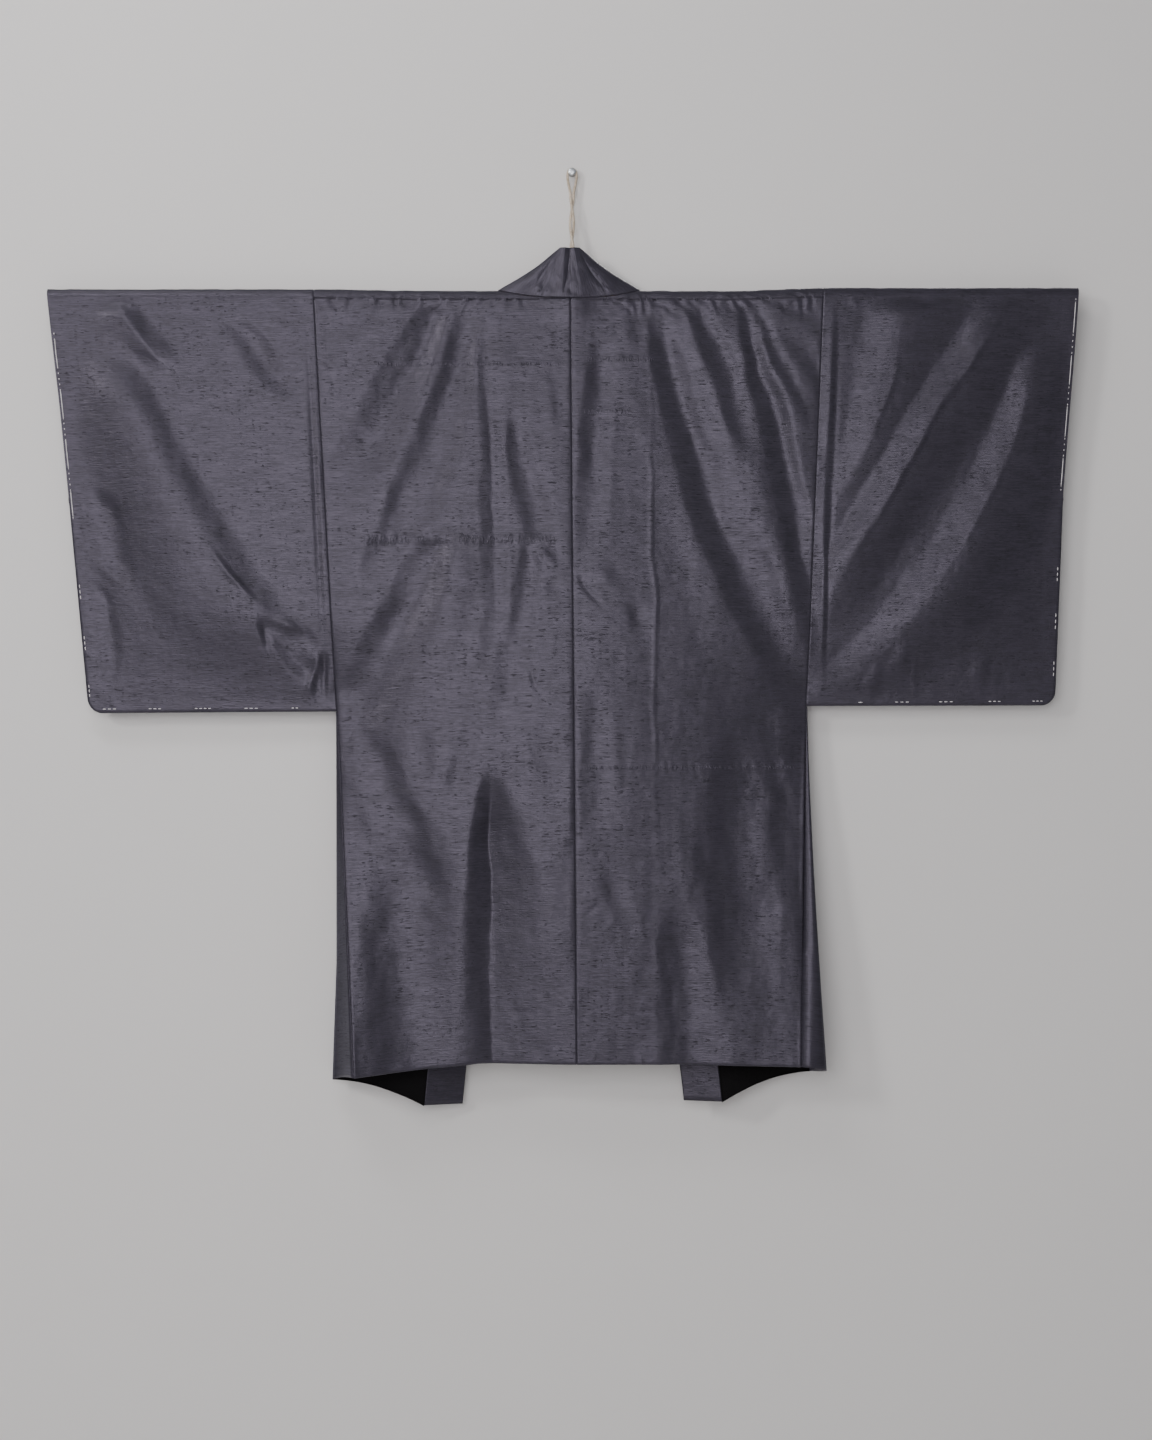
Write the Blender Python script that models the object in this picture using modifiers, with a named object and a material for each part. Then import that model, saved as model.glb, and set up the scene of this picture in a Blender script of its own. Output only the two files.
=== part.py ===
"""A haori jacket hung flat from a rod, which a loop of twine holds to a wall screw.

Metres, +Z up. The wall is the plane y = 0 and +Y goes into it, the screw meets it at the origin,
and +X is to the right of someone who faces the wall and the garment's back. Each cloth piece is a
sheet through sections that its own sizes give, with a wall from Solidify.
"""

import math
from collections import namedtuple

import bmesh
import bpy
import numpy as np

# Cloth, seams and the rod that the garment hangs on
CLOTH = 0.0015
COLLAR_CLOTH = 0.002
SEAM_GAP = 0.0004
TOUCH_GAP = 0.0003
SHOULDER_Z = -0.1525
ROD_RADIUS = 0.010
ROD_Y = -0.026
ROD_ENDS = (-0.645, 0.622)
WRAP_RADIUS = ROD_RADIUS + TOUCH_GAP + CLOTH / 2
ROD_Z = SHOULDER_Z - ROD_RADIUS - TOUCH_GAP - CLOTH

# Centre back seam, from the neck to the hem
CENTRE_TOP_X = -0.002
CENTRE_HEM_X = 0.006
CENTRE_HEM_Z = -1.112
CENTRE_HEM_DEPTH = 0.054

# Half the space between the layers: at a closed edge, and the least that a fold may leave
EDGE_HALF_GAP = 0.003
LEAST_HALF_GAP = 0.0028
CLOSING_WIDTH = 0.130
FLARE_POWER = 1.6
BACK_CROWN_POWER = 2.2

# Front panels: how late the collar's edge leaves the wall side, how soon the side seam's depth
# gives way to it, and the width over which folds die out beside it
FRONT_FALL_POWER = 2.5
FRONT_SIDE_POWER = 1.4
FRONT_EDGE_CALM = 4.0

# Hems: the back's side corner, as a share of the panel's width, and the sag of the front's
BACK_HEM_STRAIGHTENS = 1.8
FRONT_HEM_POWER = 1.8

# The sleeves' pressed fold stands above the rod from these x on
PRESSED_FOLD_X = (0.19, 0.33)
PRESSED_FOLD_DEPTH = 0.10

# Collar: height above the shoulder at the centre back, and widths along the front
PEAK_HEIGHT = 0.0515
PEAK_HALF_WIDTH = 0.0115
PEAK_X = -0.0030
FLANK_POWER = 1.15
NECK_EDGE_INWARD = 0.043
PEAK_Y = -0.040
NECK_EDGE_Y = -0.016
COLLAR_WIDTH_SHOULDER = 0.056
COLLAR_WIDTH_HEM = 0.048
COLLAR_TURN_LENGTH = 0.090
VALLEY_DEPTH = 0.012
VALLEY_TURN = math.radians(10)
COLLAR_LEAN = 0.005
COLLAR_TWIST = 1.2
COLLAR_RADIUS = WRAP_RADIUS + (COLLAR_CLOTH - CLOTH) / 2
COLLAR_SEAM_GAP = 0.0007

# Cuff opening, from the shoulder down, and the radius of the sleeve's lower corner
CUFF_OPENING = 0.260
SLEEVE_CORNER = 0.017
SLEEVE_FOLDS_FADE = 0.030

# Room in the back, below the neck seam, for the twine that goes round the rod
TWINE_ROOM = 0.0042
TWINE_ROOM_SPREAD = (0.024, 0.030)

# What differs between the garment's left and right as the wall faces: an x and a z for each place
Side = namedtuple(
    "Side",
    "name sign neck_x seam_top_x armpit_x armpit_z back_hem_x back_hem_z back_hem_depth"
    " front_mid_x front_hem_x front_hem_z front_hem_depth"
    " edge_hem_x edge_hem_z edge_hem_y edge_free_y pressed_rise"
    " cuff_top_x cuff_mid_x cuff_mid_z cuff_low_x sleeve_low_z gusset_fold_x gusset_fold_y",
)
SIDES = (
    Side(
        name="left", sign=-1, neck_x=-0.0925,
        seam_top_x=-0.3225, armpit_x=-0.2937, armpit_z=-0.6778,
        back_hem_x=-0.2665, back_hem_z=-1.127, back_hem_depth=0.056,
        front_mid_x=-0.2935, front_hem_x=-0.2990, front_hem_z=-1.139, front_hem_depth=0.008,
        edge_hem_x=-0.1850, edge_hem_z=-1.170, edge_hem_y=-0.030, edge_free_y=-0.015,
        pressed_rise=0.0018, cuff_top_x=-0.6550, cuff_mid_x=-0.6400, cuff_mid_z=-0.289,
        cuff_low_x=-0.6035, sleeve_low_z=-0.6800,
        gusset_fold_x=-0.2850, gusset_fold_y=-0.042,
    ),
    Side(
        name="right", sign=1, neck_x=0.0850,
        seam_top_x=0.3138, armpit_x=0.2925, armpit_z=-0.6710,
        back_hem_x=0.2815, back_hem_z=-1.115, back_hem_depth=0.052,
        front_mid_x=0.2955, front_hem_x=0.2970, front_hem_z=-1.128, front_hem_depth=0.004,
        edge_hem_x=0.1870, edge_hem_z=-1.163, edge_hem_y=-0.045, edge_free_y=-0.034,
        pressed_rise=0.0038, cuff_top_x=0.6320, cuff_mid_x=0.6137, cuff_mid_z=-0.401,
        cuff_low_x=0.6030, sleeve_low_z=-0.6703,
        gusset_fold_x=0.3137, gusset_fold_y=-0.055,
    ),
)
FRONT_MID_Z = -0.990

# Folds in millimetres: a line down the cloth from its top to its low height, with x and half width
# at both and halfway, the share by which its left flank is the wider, and its height to the viewer
# (below zero for a trough) or, on the fronts, to the wall.
Fold = namedtuple("Fold", "name top low x_top x_mid x_low w_top w_mid w_low lean height")
BACK_FOLDS = (
    Fold("right_drag_long", -160, -668, 96, 166, 290, 14, 38, 10, 0.0, -8.0),
    Fold("right_drag_crest", -150, -645, 120, 217, 290, 16, 30, 11, 0.0, 4.0),
    Fold("right_drag_outer", -150, -515, 188, 256, 283, 11, 17, 11, 0.0, -3.5),
    Fold("right_spine", -203, -465, 37, 23, 10, 18, 25, 15, 0.0, -3.0),
    Fold("right_low_hollow", -751, -966, 173, 179, 195, 22, 32, 25, 0.3, -3.5),
    Fold("right_hem_flute", -954, -1210, 115, 131, 152, 11, 22, 26, 0.2, -4.5),
    Fold("left_drag_upper", -150, -361, -152, -203, -278, 12, 17, 12, 0.0, -3.5),
    Fold("left_drag_long", -190, -640, -118, -176, -268, 12, 24, 14, 0.0, -5.0),
    Fold("left_hem_pleat", -763, -1250, -106, -99, -95, 20, 36, 40, 0.4, -7.0),
    Fold("left_hem_flute", -813, -1260, -237, -199, -194, 25, 58, 62, 0.2, -7.0),
    Fold("left_sleeve_ridge", -243, -575, -553, -498, -372, 11, 22, 12, 0.0, 6.0),
    Fold("left_sleeve_lee", -247, -600, -522, -450, -345, 12, 24, 15, 0.0, -3.0),
    Fold("left_sleeve_edge", -403, -509, -589, -570, -551, 12, 18, 12, 0.0, -3.0),
    Fold("left_sleeve_elbow", -560, -625, -388, -352, -318, 12, 18, 12, 0.0, -3.5),
    Fold("right_sleeve_long", -150, -540, 560, 441, 326, 26, 38, 15, -0.15, 8.0),
    Fold("right_sleeve_low", -160, -665, 592, 508, 340, 18, 48, 18, -0.15, 9.0),
    Fold("right_sleeve_high", -150, -405, 408, 388, 330, 36, 38, 12, 0.2, 6.0),
)
FRONT_FOLDS = (
    Fold("left_front_flute", -400, -1300, -190, -236, -262, 20, 38, 44, 0.0, 5.0),
    Fold("left_front_drag", -180, -640, -130, -200, -284, 16, 28, 12, 0.0, -4.0),
    Fold("right_front_flute", -380, -1300, 180, 228, 250, 20, 36, 42, 0.0, 5.0),
    Fold("right_front_drag", -180, -640, 130, 205, 284, 16, 28, 12, 0.0, -4.0),
    Fold("left_sleeve_front", -180, -600, -560, -480, -340, 20, 30, 16, 0.0, 3.0),
    Fold("right_sleeve_front", -180, -600, 540, 460, 340, 20, 30, 16, 0.0, 3.0),
)
FOLD_FADE = 0.18
FOLD_ROOM_BELOW_ROD = 0.035

# Sections of each piece
BODY_COLUMNS = 15
BACK_ROWS = (15, 14)
FRONT_ROWS = (6, 6)
NECK_STEPS = np.radians((90, 75, 60, 45, 30, 15, 0))
WRAP_STEPS = np.radians((22.5, 45.0, 67.5, 90.0))
SLEEVE_COLUMNS = 13
SLEEVE_ROWS = 21
SLEEVE_CORNER_STEPS = (0, 0.12, 0.45, 1)
COLLAR_COLUMNS = 5
COLLAR_BACK_STEPS = np.radians((0, 7.5, 15, 22.5, 30, 45, 60, 75, 90))
COLLAR_FRONT_RUNS = (0.028, 0.046, 0.068, 0.095, 0.15, 0.24, 0.35, 0.47, 0.60, 0.73, 0.87, 1.0)
GUSSET_ROWS = 14
GUSSET_FOLD_POWER = 1.3

# Twine, screw and wall plug
TWINE_RADIUS = 0.0017
TWINE_PAIR_RADIUS = 0.0022
TWINE_TURNS = 1.25
TWINE_POINTS = 80
TWINE_TURN_LENGTH = 0.009
TWINE_PAIR_Z = (-0.026, -0.128)
TWINE_LEAVES_EARLY = 0.1
TWINE_SPLIT_Z = -0.143
TWINE_SPLIT_SHARE = 0.62
TWINE_TOP_SHARE = 0.75
SCREW_Y = -0.0125
SHANK_RADIUS = 0.0019
HEAD_RADIUS = 0.0050
HEAD_THICKNESS = 0.0026
HEAD_OUTLINE = ((0, 0), (0.6, 0.0875), (0.92, 0.35), (1, 0.7), (0.92, 1))
RECESS_WIDTH = 0.0011
RECESS_LENGTH = 0.0048
RECESS_DEPTH = 0.0013
RECESS_TURN = 0.35
PLUG_RADIUS = 0.0046
PLUG_THICKNESS = 0.0012
ROD_CHAMFER = 0.001

SILK = (0.045, 0.044, 0.055)
SILK_COLLAR = (0.052, 0.050, 0.062)
PINE = (0.60, 0.46, 0.30)
TWINE = (0.62, 0.52, 0.40)
ZINC = (0.72, 0.74, 0.76)
PLUG = (0.42, 0.42, 0.41)


def smooth(t):
    """0 to 1 with no slope at either end."""
    t = np.clip(t, 0.0, 1.0)
    return t * t * (3 - 2 * t)


def blend(low, high, share):
    return low + (high - low) * share


def through(start, middle, end, t):
    """The quadratic with these values at t = 0, 0.5 and 1."""
    return start + t * (4 * middle - 3 * start - end) + t * t * (2 * start + 2 * end - 4 * middle)


def fold_height(folds, x, z):
    """Metres that the folds move the cloth at x, z."""
    total = np.zeros(np.broadcast(x, z).shape)
    for fold in folds:
        t = (fold.top - z * 1000) / (fold.top - fold.low)
        inside = np.clip(t, 0, 1)
        middle = through(fold.x_top, fold.x_mid, fold.x_low, inside)
        slope = (through(fold.x_top, fold.x_mid, fold.x_low, inside + 0.01) - middle) / (
            0.01 * (fold.top - fold.low)
        )
        offset = (x * 1000 - middle) / np.sqrt(1 + slope**2)
        width = through(fold.w_top, fold.w_mid, fold.w_low, inside)
        flank = width * np.where(offset < 0, 1 + fold.lean, 1 - fold.lean)
        across = np.clip(1 - (offset / flank) ** 2, 0, 1) ** 2
        along = smooth(t / FOLD_FADE) * smooth((1 - t) / FOLD_FADE)
        total = total + fold.height / 1000 * across * along
    return total * smooth((ROD_Z - z) / FOLD_ROOM_BELOW_ROD)


def hang(z, hem_z):
    """0 at the rod, 1 at the hem."""
    return np.clip((ROD_Z - z) / (ROD_Z - hem_z), 0, 1)


def centre_x(z):
    return blend(CENTRE_TOP_X, CENTRE_HEM_X, (z - SHOULDER_Z) / (CENTRE_HEM_Z - SHOULDER_Z))


def back_side_x(side, z):
    """The seam down a back panel's side: the sleeve's above the armpit, the gusset's below."""
    levels = (side.back_hem_z, side.armpit_z, SHOULDER_Z)
    return np.interp(z, levels, (side.back_hem_x, side.armpit_x, side.seam_top_x))


def front_side_x(side, z):
    levels = (side.front_hem_z, FRONT_MID_Z, side.armpit_z, SHOULDER_Z)
    seam = (side.front_hem_x, side.front_mid_x, side.armpit_x, side.seam_top_x)
    return np.interp(z, levels, seam)


def front_edge_x(side, z):
    """The collar's seam down the front."""
    share = (z - SHOULDER_Z) / (side.edge_hem_z - SHOULDER_Z)
    return blend(side.neck_x, side.edge_hem_x, share)


def back_hem_z(side, share):
    """share 0 at the side seam, 1 at the centre."""
    return blend(side.back_hem_z, CENTRE_HEM_Z, np.clip(share * BACK_HEM_STRAIGHTENS, 0, 1))


def front_hem_z(side, share):
    """share 0 at the side seam, 1 at the collar."""
    return blend(side.front_hem_z, side.edge_hem_z, share**FRONT_HEM_POWER)


def armhole_half_gap(side, z):
    """Half the space between back and front along the sleeve's seam."""
    return blend(EDGE_HALF_GAP, WRAP_RADIUS, smooth((z - side.armpit_z) / CLOSING_WIDTH))


def seam_depth(side, z, hem_depth, hem_z):
    """How far a side seam stands from the plane of the rod's axis."""
    below = np.clip((side.armpit_z - z) / (side.armpit_z - hem_z), 0, 1)
    flare = (hem_depth - EDGE_HALF_GAP) * below**FLARE_POWER
    return armhole_half_gap(side, z) + flare


def body_back_y(side, x, z):
    middle = WRAP_RADIUS + (CENTRE_HEM_DEPTH - WRAP_RADIUS) * hang(z, CENTRE_HEM_Z) ** FLARE_POWER
    at_side = seam_depth(side, z, side.back_hem_depth, side.back_hem_z)
    share = np.abs((x - centre_x(z)) / (back_side_x(side, z) - centre_x(z)))
    depth = blend(middle, at_side, np.clip(share, 0, 1) ** BACK_CROWN_POWER)
    depth = np.maximum(depth + fold_height(BACK_FOLDS, x, z), LEAST_HALF_GAP)
    return ROD_Y - depth - twine_room(x, z)


def twine_room(x, z):
    across, down = x / TWINE_ROOM_SPREAD[0], (z - ROD_Z) / TWINE_ROOM_SPREAD[1]
    return TWINE_ROOM * np.exp(-(across**2) - down**2)


def body_front_y(side, x, z):
    fall = hang(z, side.edge_hem_z) ** FRONT_FALL_POWER
    edge = blend(WRAP_RADIUS, side.edge_hem_y - ROD_Y, fall)
    at_side = seam_depth(side, z, side.front_hem_depth, side.front_hem_z)
    inner = front_edge_x(side, z)
    share = np.clip((x - inner) / (front_side_x(side, z) - inner), 0, 1)
    depth = blend(edge, at_side, share**FRONT_SIDE_POWER)
    return ROD_Y + depth + fold_height(FRONT_FOLDS, x, z) * smooth(share * FRONT_EDGE_CALM)


def sleeve_low_z(side, share):
    """The sleeve's lower edge: share 0 at the armhole seam, 1 at the cuff."""
    return blend(side.armpit_z, side.sleeve_low_z, share)


def cuff_x(side, z):
    """The sleeve's outer edge, with its rounded lower corner."""
    low = side.sleeve_low_z
    straight = np.interp(
        z, (low, side.cuff_mid_z, SHOULDER_Z), (side.cuff_low_x, side.cuff_mid_x, side.cuff_top_x)
    )
    into_corner = np.clip((low + SLEEVE_CORNER - z) / SLEEVE_CORNER, 0, 1)
    return straight - side.sign * SLEEVE_CORNER * (1 - np.sqrt(1 - into_corner**2))


def sleeve_half_gap(side, x, z):
    """Half the space between the sleeve's layers, which close to its lower and outer edges."""
    share = (x - side.armpit_x) / (side.cuff_low_x - side.armpit_x)
    low = sleeve_low_z(side, np.clip(share, 0, 1))
    from_low = smooth((z - low) / CLOSING_WIDTH)
    from_cuff = smooth(side.sign * (cuff_x(side, z) - x) / CLOSING_WIDTH)
    closed = smooth((SHOULDER_Z - z) / CUFF_OPENING)
    return blend(EDGE_HALF_GAP, WRAP_RADIUS, from_low * (1 - closed * (1 - from_cuff)))


def edge_fade(side, x, z):
    """Folds of a sleeve die out in its closed edges."""
    share = np.clip((x - side.armpit_x) / (side.cuff_low_x - side.armpit_x), 0, 1)
    from_low = (z - sleeve_low_z(side, share)) / SLEEVE_FOLDS_FADE
    from_cuff = side.sign * (cuff_x(side, z) - x) / SLEEVE_FOLDS_FADE
    return smooth(np.minimum(from_low, from_cuff))


def sleeve_back_y(side, x, z):
    depth = sleeve_half_gap(side, x, z) + fold_height(BACK_FOLDS, x, z) * edge_fade(side, x, z)
    return ROD_Y - np.maximum(depth, LEAST_HALF_GAP)


def sleeve_front_y(side, x, z):
    depth = sleeve_half_gap(side, x, z) + fold_height(FRONT_FOLDS, x, z) * edge_fade(side, x, z)
    return ROD_Y + np.maximum(depth, LEAST_HALF_GAP)


def points(side, x, y, z):
    """Places on the cloth, raised where the sleeve's pressed fold stands above the rod."""
    start, full = PRESSED_FOLD_X
    outward = smooth((side.sign * x - start) / (full - start))
    upward = smooth(1 - (SHOULDER_Z - z) / PRESSED_FOLD_DEPTH)
    return np.stack(np.broadcast_arrays(x, y, z + side.pressed_rise * outward * upward), axis=-1)


def heights(side, hem_z, counts):
    """Heights of a panel's rows: level from the rod to the armpit, then fanned to the hem."""
    level = np.full_like(hem_z, side.armpit_z)
    upper = [blend(ROD_Z, level, fall) for fall in np.linspace(0, 1, counts[0])]
    lower = [blend(level, hem_z, fall) for fall in np.linspace(0, 1, counts[1] + 1)[1:]]
    return upper + lower


def body_sections(side):
    """Rows of one body panel, from the back hem over the shoulder to the front hem."""
    share = np.linspace(0, 1, BODY_COLUMNS)
    half_seam = side.sign * SEAM_GAP / 2
    rows = []
    for z in heights(side, back_hem_z(side, share), BACK_ROWS)[::-1]:
        x = blend(back_side_x(side, z) - half_seam, centre_x(z) + half_seam, share)
        rows.append(points(side, x, body_back_y(side, x, z), z))
    for turn in np.pi / 2 - NECK_STEPS[1:]:
        angle, inner = neck_seam(side, turn)
        z = ROD_Z + WRAP_RADIUS * math.cos(angle)
        x = blend(back_side_x(side, z) - half_seam, inner, share)
        rows.append(points(side, x, ROD_Y - WRAP_RADIUS * math.sin(angle) - twine_room(x, z), z))
    for angle in WRAP_STEPS:
        z = ROD_Z + WRAP_RADIUS * math.cos(angle)
        x = blend(front_side_x(side, z) - half_seam, front_edge_x(side, z), share)
        rows.append(points(side, x, ROD_Y + WRAP_RADIUS * math.sin(angle), z))
    for z in heights(side, front_hem_z(side, share), FRONT_ROWS)[1:]:
        x = blend(front_side_x(side, z) - half_seam, front_edge_x(side, z), share)
        rows.append(points(side, x, body_front_y(side, x, z), z))
    return np.array(rows)


def neck_seam(side, turn):
    """The neck seam over the rod: its angle behind the crest, and x. turn 0 is the centre back."""
    angle = math.pi / 2 * math.cos(turn)
    return angle, blend(CENTRE_TOP_X, side.neck_x, math.sin(turn))


def sleeve_sections(side):
    """Rows of a sleeve, from its lower edge up the back, over the shoulder and down the front."""
    share = np.linspace(0, 1, SLEEVE_COLUMNS)
    half_seam = side.sign * SEAM_GAP / 2
    low = sleeve_low_z(side, share)
    corner = SLEEVE_CORNER / (ROD_Z - side.sleeve_low_z)
    falls = [1 - corner * step for step in SLEEVE_CORNER_STEPS]
    falls += list(np.linspace(1 - corner, 0, SLEEVE_ROWS - len(falls) + 1)[1:])

    def row(z, y_of):
        x = blend(back_side_x(side, z) + half_seam, cuff_x(side, z), share)
        return points(side, x, y_of(x, z), z)

    back = [row(blend(ROD_Z, low, fall), lambda x, z: sleeve_back_y(side, x, z)) for fall in falls]
    front = [row(blend(ROD_Z, low, fall), lambda x, z: sleeve_front_y(side, x, z)) for fall in falls]
    over = []
    for angle in np.concatenate((WRAP_STEPS[2::-1], [0], -WRAP_STEPS[:3])):
        z = np.full(SLEEVE_COLUMNS, ROD_Z + WRAP_RADIUS * math.cos(angle))
        over.append(row(z, lambda x, z, a=angle: ROD_Y - WRAP_RADIUS * math.sin(a)))
    return np.array(back + over + front[::-1])


def sleeve_closing(sections):
    """Pairs of a back and a front point, along the lower edge and up to the cuff's opening."""
    last = len(sections) - 1
    corner = SLEEVE_COLUMNS - 1
    low = [((0, column), (last, column)) for column in range(SLEEVE_COLUMNS)]
    closed_below = SHOULDER_Z - CUFF_OPENING
    outer = [
        ((row, corner), (last - row, corner))
        for row in range(1, SLEEVE_ROWS)
        if sections[row, corner, 2] < closed_below
    ]
    return low + outer


def gusset_edge(corner, toward, sign):
    """A point of the gusset's edge, clear of a panel's corner on the side that faces outward."""
    run = (toward - corner)[:2]
    outward = np.array((run[1], -run[0])) / np.linalg.norm(run)
    outward *= sign if outward[0] > 0 else -sign
    clear = CLOTH / 2 + SEAM_GAP + TOUCH_GAP / 2
    return corner + np.append(outward * clear, 0)


def gusset_sections(side):
    """Rows of the strip between a back and a front panel, from the armpit to the hem."""
    rows = []
    top = side.armpit_z - CLOTH / 2 - SEAM_GAP
    for fall in np.linspace(0, 1, GUSSET_ROWS):
        back_z = blend(top, side.back_hem_z, fall)
        front_z = blend(top, side.front_hem_z, fall)
        back_x, front_x = back_side_x(side, back_z), front_side_x(side, front_z)
        back = np.array((back_x, float(body_back_y(side, back_x, back_z)) + CLOTH / 2, back_z))
        front = np.array((front_x, float(body_front_y(side, front_x, front_z)) - CLOTH / 2, front_z))
        straight = (back + front) / 2 + (side.sign * (CLOTH / 2 + SEAM_GAP), 0, 0)
        fold = np.array((side.gusset_fold_x, side.gusset_fold_y, straight[2]))
        middle = blend(straight, fold, fall**GUSSET_FOLD_POWER)
        back_edge = gusset_edge(back, middle, side.sign)
        front_edge = gusset_edge(front, middle, side.sign)
        rows.append((back_edge, middle, front_edge))
    return np.array(rows)


def collar_back_row(side, turn):
    """Seam and free edge of the collar behind the neck. turn 0 is the centre, pi / 2 the shoulder."""
    stations = np.pi / 2 - NECK_STEPS
    wrap = []
    for station in stations:
        angle, x = neck_seam(side, station)
        back, up = COLLAR_RADIUS * math.sin(angle), COLLAR_RADIUS * math.cos(angle)
        wrap.append((x, ROD_Y - back, ROD_Z + up))
    seam = np.array([np.interp(turn, stations, axis) for axis in np.transpose(wrap)])
    seam[1] -= twine_room(seam[0], seam[2])
    share = turn / (math.pi / 2)
    reach = abs(side.neck_x - CENTRE_TOP_X)
    inward = blend(0, reach - NECK_EDGE_INWARD, share)
    rise = PEAK_HEIGHT * min(1, (reach - inward) / (reach - PEAK_HALF_WIDTH)) ** FLANK_POWER
    valley = VALLEY_DEPTH * max(0, 1 - turn / VALLEY_TURN)
    depth = blend(PEAK_Y, NECK_EDGE_Y, share**1.5) + valley
    middle = blend(PEAK_X, CENTRE_TOP_X, share)
    edge = np.array((middle + side.sign * inward, depth, SHOULDER_Z + rise))
    return seam, edge


def collar_front_row(side, seam):
    """The seam point and the free edge of the collar on the front."""
    shoulder_seam, shoulder_edge = collar_back_row(side, math.pi / 2)
    start = shoulder_edge - shoulder_seam
    run = (SHOULDER_Z - seam[2]) / (SHOULDER_Z - side.edge_hem_z)
    turned = smooth((SHOULDER_Z - seam[2]) / COLLAR_TURN_LENGTH)
    angle = blend(math.atan2(start[2], abs(start[0])), 0, turned)
    width = blend(math.hypot(start[0], start[2]), COLLAR_WIDTH_SHOULDER, turned)
    width = blend(width, COLLAR_WIDTH_HEM, run)
    at_hem = side.edge_free_y - side.edge_hem_y
    toward_wall = blend(blend(start[1], COLLAR_LEAN, turned), at_hem, smooth(run * COLLAR_TWIST))
    inward = -side.sign * width * math.cos(angle)
    return seam, seam + np.array((inward, toward_wall, width * math.sin(angle)))


def collar_front_seams(side):
    """The collar's seam from the shoulder down the front: over the rod, then down to the hem."""
    seams = []
    for angle in WRAP_STEPS:
        x = front_edge_x(side, ROD_Z + WRAP_RADIUS * math.cos(angle))
        back, up = COLLAR_RADIUS * math.sin(angle), COLLAR_RADIUS * math.cos(angle)
        seams.append(np.array((x, ROD_Y + back, ROD_Z + up)))
    for run in COLLAR_FRONT_RUNS:
        z = blend(SHOULDER_Z, side.edge_hem_z, run)
        x = front_edge_x(side, z)
        y = float(body_front_y(side, x, z)) + COLLAR_RADIUS - WRAP_RADIUS
        seams.append(np.array((x, y, z)))
    return seams


def collar_sections():
    """Rows of the collar, in one band: up the left front, round the neck and down the right front."""
    left, right = SIDES
    seams_and_edges = [collar_front_row(left, seam) for seam in collar_front_seams(left)[::-1]]
    seams_and_edges += [collar_back_row(left, turn) for turn in COLLAR_BACK_STEPS[::-1]]
    seams_and_edges += [collar_back_row(right, turn) for turn in COLLAR_BACK_STEPS[1:]]
    seams_and_edges += [collar_front_row(right, seam) for seam in collar_front_seams(right)]
    rows = []
    for seam, edge in seams_and_edges:
        across = (edge - seam) / np.linalg.norm(edge - seam)
        shares = np.linspace(0, 1, COLLAR_COLUMNS)[:, None]
        rows.append(blend(seam + across * COLLAR_SEAM_GAP, edge, shares))
    return np.array(rows)


def twine_route():
    """Closed route of the twine: a long loop over the screw's shank and under the rod."""
    top = SHANK_RADIUS + TOUCH_GAP + TWINE_RADIUS
    under = ROD_RADIUS + TOUCH_GAP + TWINE_RADIUS
    strand = []
    for share in np.linspace(0, 1, 15):
        leaving = smooth((share + TWINE_LEAVES_EARLY) / (1 + TWINE_LEAVES_EARLY))
        middle = blend(SCREW_Y + HEAD_THICKNESS + TWINE_RADIUS, ROD_Y, leaving)
        strand.append((2 * math.pi * TWINE_TURNS * share, middle, blend(*TWINE_PAIR_Z, share)))

    def side_of(sign):
        return [
            (
                sign * TWINE_PAIR_RADIUS * math.cos(angle),
                middle + sign * TWINE_PAIR_RADIUS * math.sin(angle),
                height,
            )
            for angle, middle, height in strand
        ]

    loop_y = SCREW_Y + HEAD_THICKNESS + TOUCH_GAP + TWINE_RADIUS
    over = top * TWINE_TOP_SHARE
    bow = ((over, over), (0.0049, 0.0002), (0.0057, -0.0060), (0.0042, -0.0160))
    down = [(0, loop_y, top + TOUCH_GAP)] + [(x, loop_y, z) for x, z in bow]
    down += side_of(1)
    split = under * TWINE_SPLIT_SHARE
    down += [(0, ROD_Y + split, TWINE_SPLIT_Z), (0, ROD_Y + under, ROD_Z)]
    around = [
        (0, ROD_Y + under * math.cos(angle), ROD_Z - under * math.sin(angle))
        for angle in np.radians((45, 90, 135))
    ]
    up = [(0, ROD_Y - under, ROD_Z), (0, ROD_Y - split, TWINE_SPLIT_Z)]
    up += side_of(-1)[::-1]
    up += [(-x, loop_y, z) for x, z in bow[::-1]]
    return np.array(down + around + up)


def along_curve(route, count):
    """count points along the closed Catmull-Rom curve through the route, closer where it turns."""
    total = len(route)
    fine = []
    for index in range(total):
        before, start, end, after = (route[(index + step) % total] for step in (-1, 0, 1, 2))
        for t in np.linspace(0, 1, 12, endpoint=False):
            fine.append(
                0.5
                * (
                    2 * start
                    + (end - before) * t
                    + (2 * before - 5 * start + 4 * end - after) * t**2
                    + (3 * start - before - 3 * end + after) * t**3
                )
            )
    steps = np.diff(np.array(fine + fine[:2]), axis=0)
    lengths = np.linalg.norm(steps, axis=1)
    headings = steps / lengths[:, None]
    turns = np.arccos(np.clip(np.sum(headings[1:] * headings[:-1], axis=1), -1, 1))
    spread = np.concatenate(([0], np.cumsum(lengths[:-1] + TWINE_TURN_LENGTH * turns)))
    wanted = np.linspace(0, spread[-1], count, endpoint=False)
    fine = np.array(fine + fine[:1])
    return np.stack([np.interp(wanted, spread, fine[:, axis]) for axis in range(3)], axis=-1)


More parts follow.
